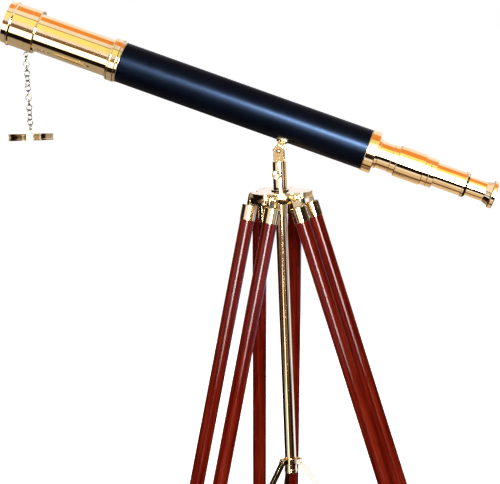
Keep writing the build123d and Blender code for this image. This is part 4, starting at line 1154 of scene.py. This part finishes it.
# Each from an angle to an angle round a lying tube: 0 in front, 90 overhead, 180 behind
roundFront = [
    (-180, -70, "grey"), (-66, -38, "black"), (-34, -8, "white"), (-5, 10, "brown"), (15, 27, "pale"),
    (31, 58, "yellow"), (62, 62, "brown"), (66, 86, "pale"), (91, 118, "orange"), (126, 176, "pale")]
roundMiddle = [(-180, -22, "shade"), (-15, 0, "tan"), (4, 150, "shade"), (160, 180, "pale")]
roundRear = [
    (-180, -92, "tan"), (-87, -75, "brown"), (-71, -48, "tan"), (-42, -36, "pale"), (-31, -4, "black"),
    (3, 40, "white"), (50, 68, "yellow"), (74, 112, "orange"), (120, 176, "pale")]
# And round an upright piece: 0 in front, 90 to the right
roundCap = [
    (-180, -122, "grey"), (-108, -62, "black"), (-50, -35, "brown"), (-31, -21, "white"), (-17, 4, "grey"),
    (9, 31, "white"), (35, 58, "grey"), (62, 65, "pale"), (69, 92, "black"), (97, 180, "grey")]
roundPost = [
    (-180, -148, "grey"), (-132, -72, "black"), (-61, -33, "pale"), (-29, -20, "grey"), (-15, 27, "white"),
    (31, 50, "black"), (54, 66, "pale"), (70, 96, "black"), (108, 180, "tan")]
roundColumn = [
    (-180, -150, "brown"), (-134, -90, "black"), (-72, -62, "brown"), (-50, -40, "black"), (-31, -17, "tan"),
    (-8, 36, "brown"), (45, 70, "black"), (92, 122, "sky"), (140, 180, "grey")]
roundFoot = [
    (-180, -150, "brown"), (-134, -70, "black"), (-56, -31, "sky"), (-23, 38, "shade"), (48, 86, "black"),
    (98, 146, "sky"), (160, 180, "grey")]
# And by the height of the direction above level, for everything else
risen = [(-180, 9, "black"), (20, 20, "shade"), (27, 27, "grey"), (33, 180, "pale")]
# Cards on stands: edges by turn and by rise where each comes in, is full, fades and ends
panels = [
    {"turn": (-58, -50, -14, -8), "rise": (10, 12.5, 18, 22), "card": "pale"},
    {"turn": (22, 28, 44, 60), "rise": (-2, 1, 7, 10), "card": "grey"},
    {"turn": (-145, -138, -92, -85), "rise": (15, 20, 46, 52), "card": "black"},
    {"turn": (122, 130, 160, 168), "rise": (6, 10, 34, 42), "card": "sky"}]


def lamp(name, place, size, power):
    data = bpy.data.lights.new(name, "AREA")
    data.shape = "RECTANGLE"
    data.size, data.size_y = size
    data.energy = power
    light = bpy.data.objects.new(name, data)
    light.location = place
    light.rotation_euler = (headCentre - place).to_track_quat("-Z", "Y").to_euler()
    bpy.context.scene.collection.objects.link(light)
    return light


def rayPaths(tree):
    paths = addNode(tree, "ShaderNodeLightPath").outputs
    return paths, mathOf(tree, "MAXIMUM", paths["Is Camera Ray"], paths["Is Transmission Ray"])


def layFloor():
    half = studio["floorSize"] / 2
    data = bpy.data.meshes.new("floor")
    data.from_pydata([(x, y, 0) for x, y in rectangle(-half, half, -half, half)], [], [(0, 1, 2, 3)])
    floor = bpy.data.objects.new("floor", data)
    bpy.context.scene.collection.objects.link(floor)
    floor.visible_glossy = False
    material, tree, shader = freshMaterial("paleFloor")
    feed(tree, shader, {
        "Base Color": studio["floorColour"], "Roughness": studio["floorRough"], "Specular IOR Level": 0.0})
    lift = rangeOf(tree, rayPaths(tree)[1], 0.0, studio["floorLift"])
    glow = addNode(tree, "ShaderNodeEmission", {"Color": studio["white"], "Strength": lift})
    both = addNode(tree, "ShaderNodeAddShader", {0: shader.outputs["BSDF"], 1: glow.outputs["Emission"]})
    feed(tree, tree.nodes["Material Output"], {"Surface": both.outputs["Shader"]})
    data.materials.append(material)


def dimmed(colour):
    return tuple(part / studio["shine"] for part in colour)


def bandsOf(tree, angle, bands):
    share = rangeOf(tree, angle, 0.0, 1.0, -math.pi, math.pi)
    edges = [(edge, cards[card]) for first, last, card in bands for edge in sorted({first, last})]
    return rampOf(tree, share, [((edge + 180) / 360, dimmed(colour)) for edge, colour in edges])


def within(tree, value, rise, full, fade, end):
    up = rangeOf(tree, value, 0.0, 1.0, rise, full)
    return mathOf(tree, "MULTIPLY", up, rangeOf(tree, value, 1.0, 0.0, fade, end))


def withinTurn(tree, angle, edges):
    return within(tree, angle, *(math.radians(edge) for edge in edges))


def mixOf(tree, share, first, second):
    inputs = {"Factor": share, "A": first, "B": second}
    return addNode(tree, "ShaderNodeMix", inputs, data_type="RGBA").outputs["Result"]


def lightRoom():
    world = bpy.data.worlds.new("room")
    bpy.context.scene.world = world
    world.use_nodes = True
    tree = world.node_tree
    paths, seen = rayPaths(tree)
    direction = addNode(tree, "ShaderNodeTexCoord").outputs["Generated"]
    parts = addNode(tree, "ShaderNodeSeparateXYZ", {"Vector": direction}).outputs
    tubeWay = {0: direction, 1: tubeFrame.to_3x3().col[2]}
    along = addNode(tree, "ShaderNodeVectorMath", tubeWay, operation="DOT_PRODUCT").outputs["Value"]
    towards = mathOf(tree, "MULTIPLY", parts["Y"], -1.0)
    turn = mathOf(tree, "ARCTAN2", parts["X"], towards)
    rise = mathOf(tree, "ARCSINE", parts["Z"])
    around = mathOf(tree, "ARCTAN2", parts["Z"], towards)
    lying = bandsOf(tree, around, roundRear)
    for view, bands in (("middleView", roundMiddle), ("frontView", roundFront)):
        share = rangeOf(tree, along, 0.0, 1.0, *studio[view])
        lying = mixOf(tree, share, lying, bandsOf(tree, around, bands))
    panes = []
    for pane in ("window", "sill"):
        upTo = withinTurn(tree, rise, studio[pane + "Rise"])
        panes.append(mathOf(tree, "MULTIPLY", upTo, rangeOf(tree, along, 1.0, 0.0, *studio[pane + "Along"])))
    pane = withinTurn(tree, turn, studio["windowTurn"])
    window = mathOf(tree, "MULTIPLY", mathOf(tree, "MAXIMUM", *panes), pane)
    room = bandsOf(tree, rise, risen)
    for view, bands in (("capView", roundCap), ("postView", roundPost), ("columnView", roundColumn),
                        ("footView", roundFoot)):
        room = mixOf(tree, within(tree, parts["Z"], *studio[view]), room, bandsOf(tree, turn, bands))
    for panel in panels:
        inTurn, inRise = withinTurn(tree, turn, panel["turn"]), withinTurn(tree, rise, panel["rise"])
        room = mixOf(tree, mathOf(tree, "MULTIPLY", inTurn, inRise), room, (*dimmed(cards[panel["card"]]), 1))
    centre, inside, outside = studio["tubeView"]
    offCentre = mathOf(tree, "ABSOLUTE", mathOf(tree, "SUBTRACT", along, centre))
    room = mixOf(tree, rangeOf(tree, offCentre, 1.0, 0.0, inside, outside), room, lying)
    room = mixOf(tree, window, room, (*dimmed((studio["window"],) * 3), 1))
    legs = mathOf(tree, "MULTIPLY", window, rangeOf(tree, along, 1.0, 0.0, *studio["legAlong"]))
    room = mixOf(tree, legs, room, (*dimmed((studio["legWindow"],) * 3), 1))
    plain = tree.nodes["Background"]
    feed(tree, plain, {"Color": studio["white"], "Strength": rangeOf(tree, seen, studio["room"], 1.0)})
    shown = addNode(tree, "ShaderNodeBackground", {"Color": room, "Strength": studio["shine"]})
    pick = addNode(tree, "ShaderNodeMixShader", {
        "Fac": paths["Is Glossy Ray"], 1: plain.outputs["Background"], 2: shown.outputs["Background"]})
    feed(tree, tree.nodes["World Output"], {"Surface": pick.outputs["Shader"]})


layFloor()
lightRoom()
lamp("softBox", *studio["softBox"], studio["softBoxPower"])
lamp("glint", *studio["softBox"], studio["glintPower"]).visible_diffuse = False
lamp("backFill", *studio["backFill"], studio["backFillPower"]).visible_glossy = False
bpy.context.scene.view_settings.view_transform = "Standard"
print("studio lit")
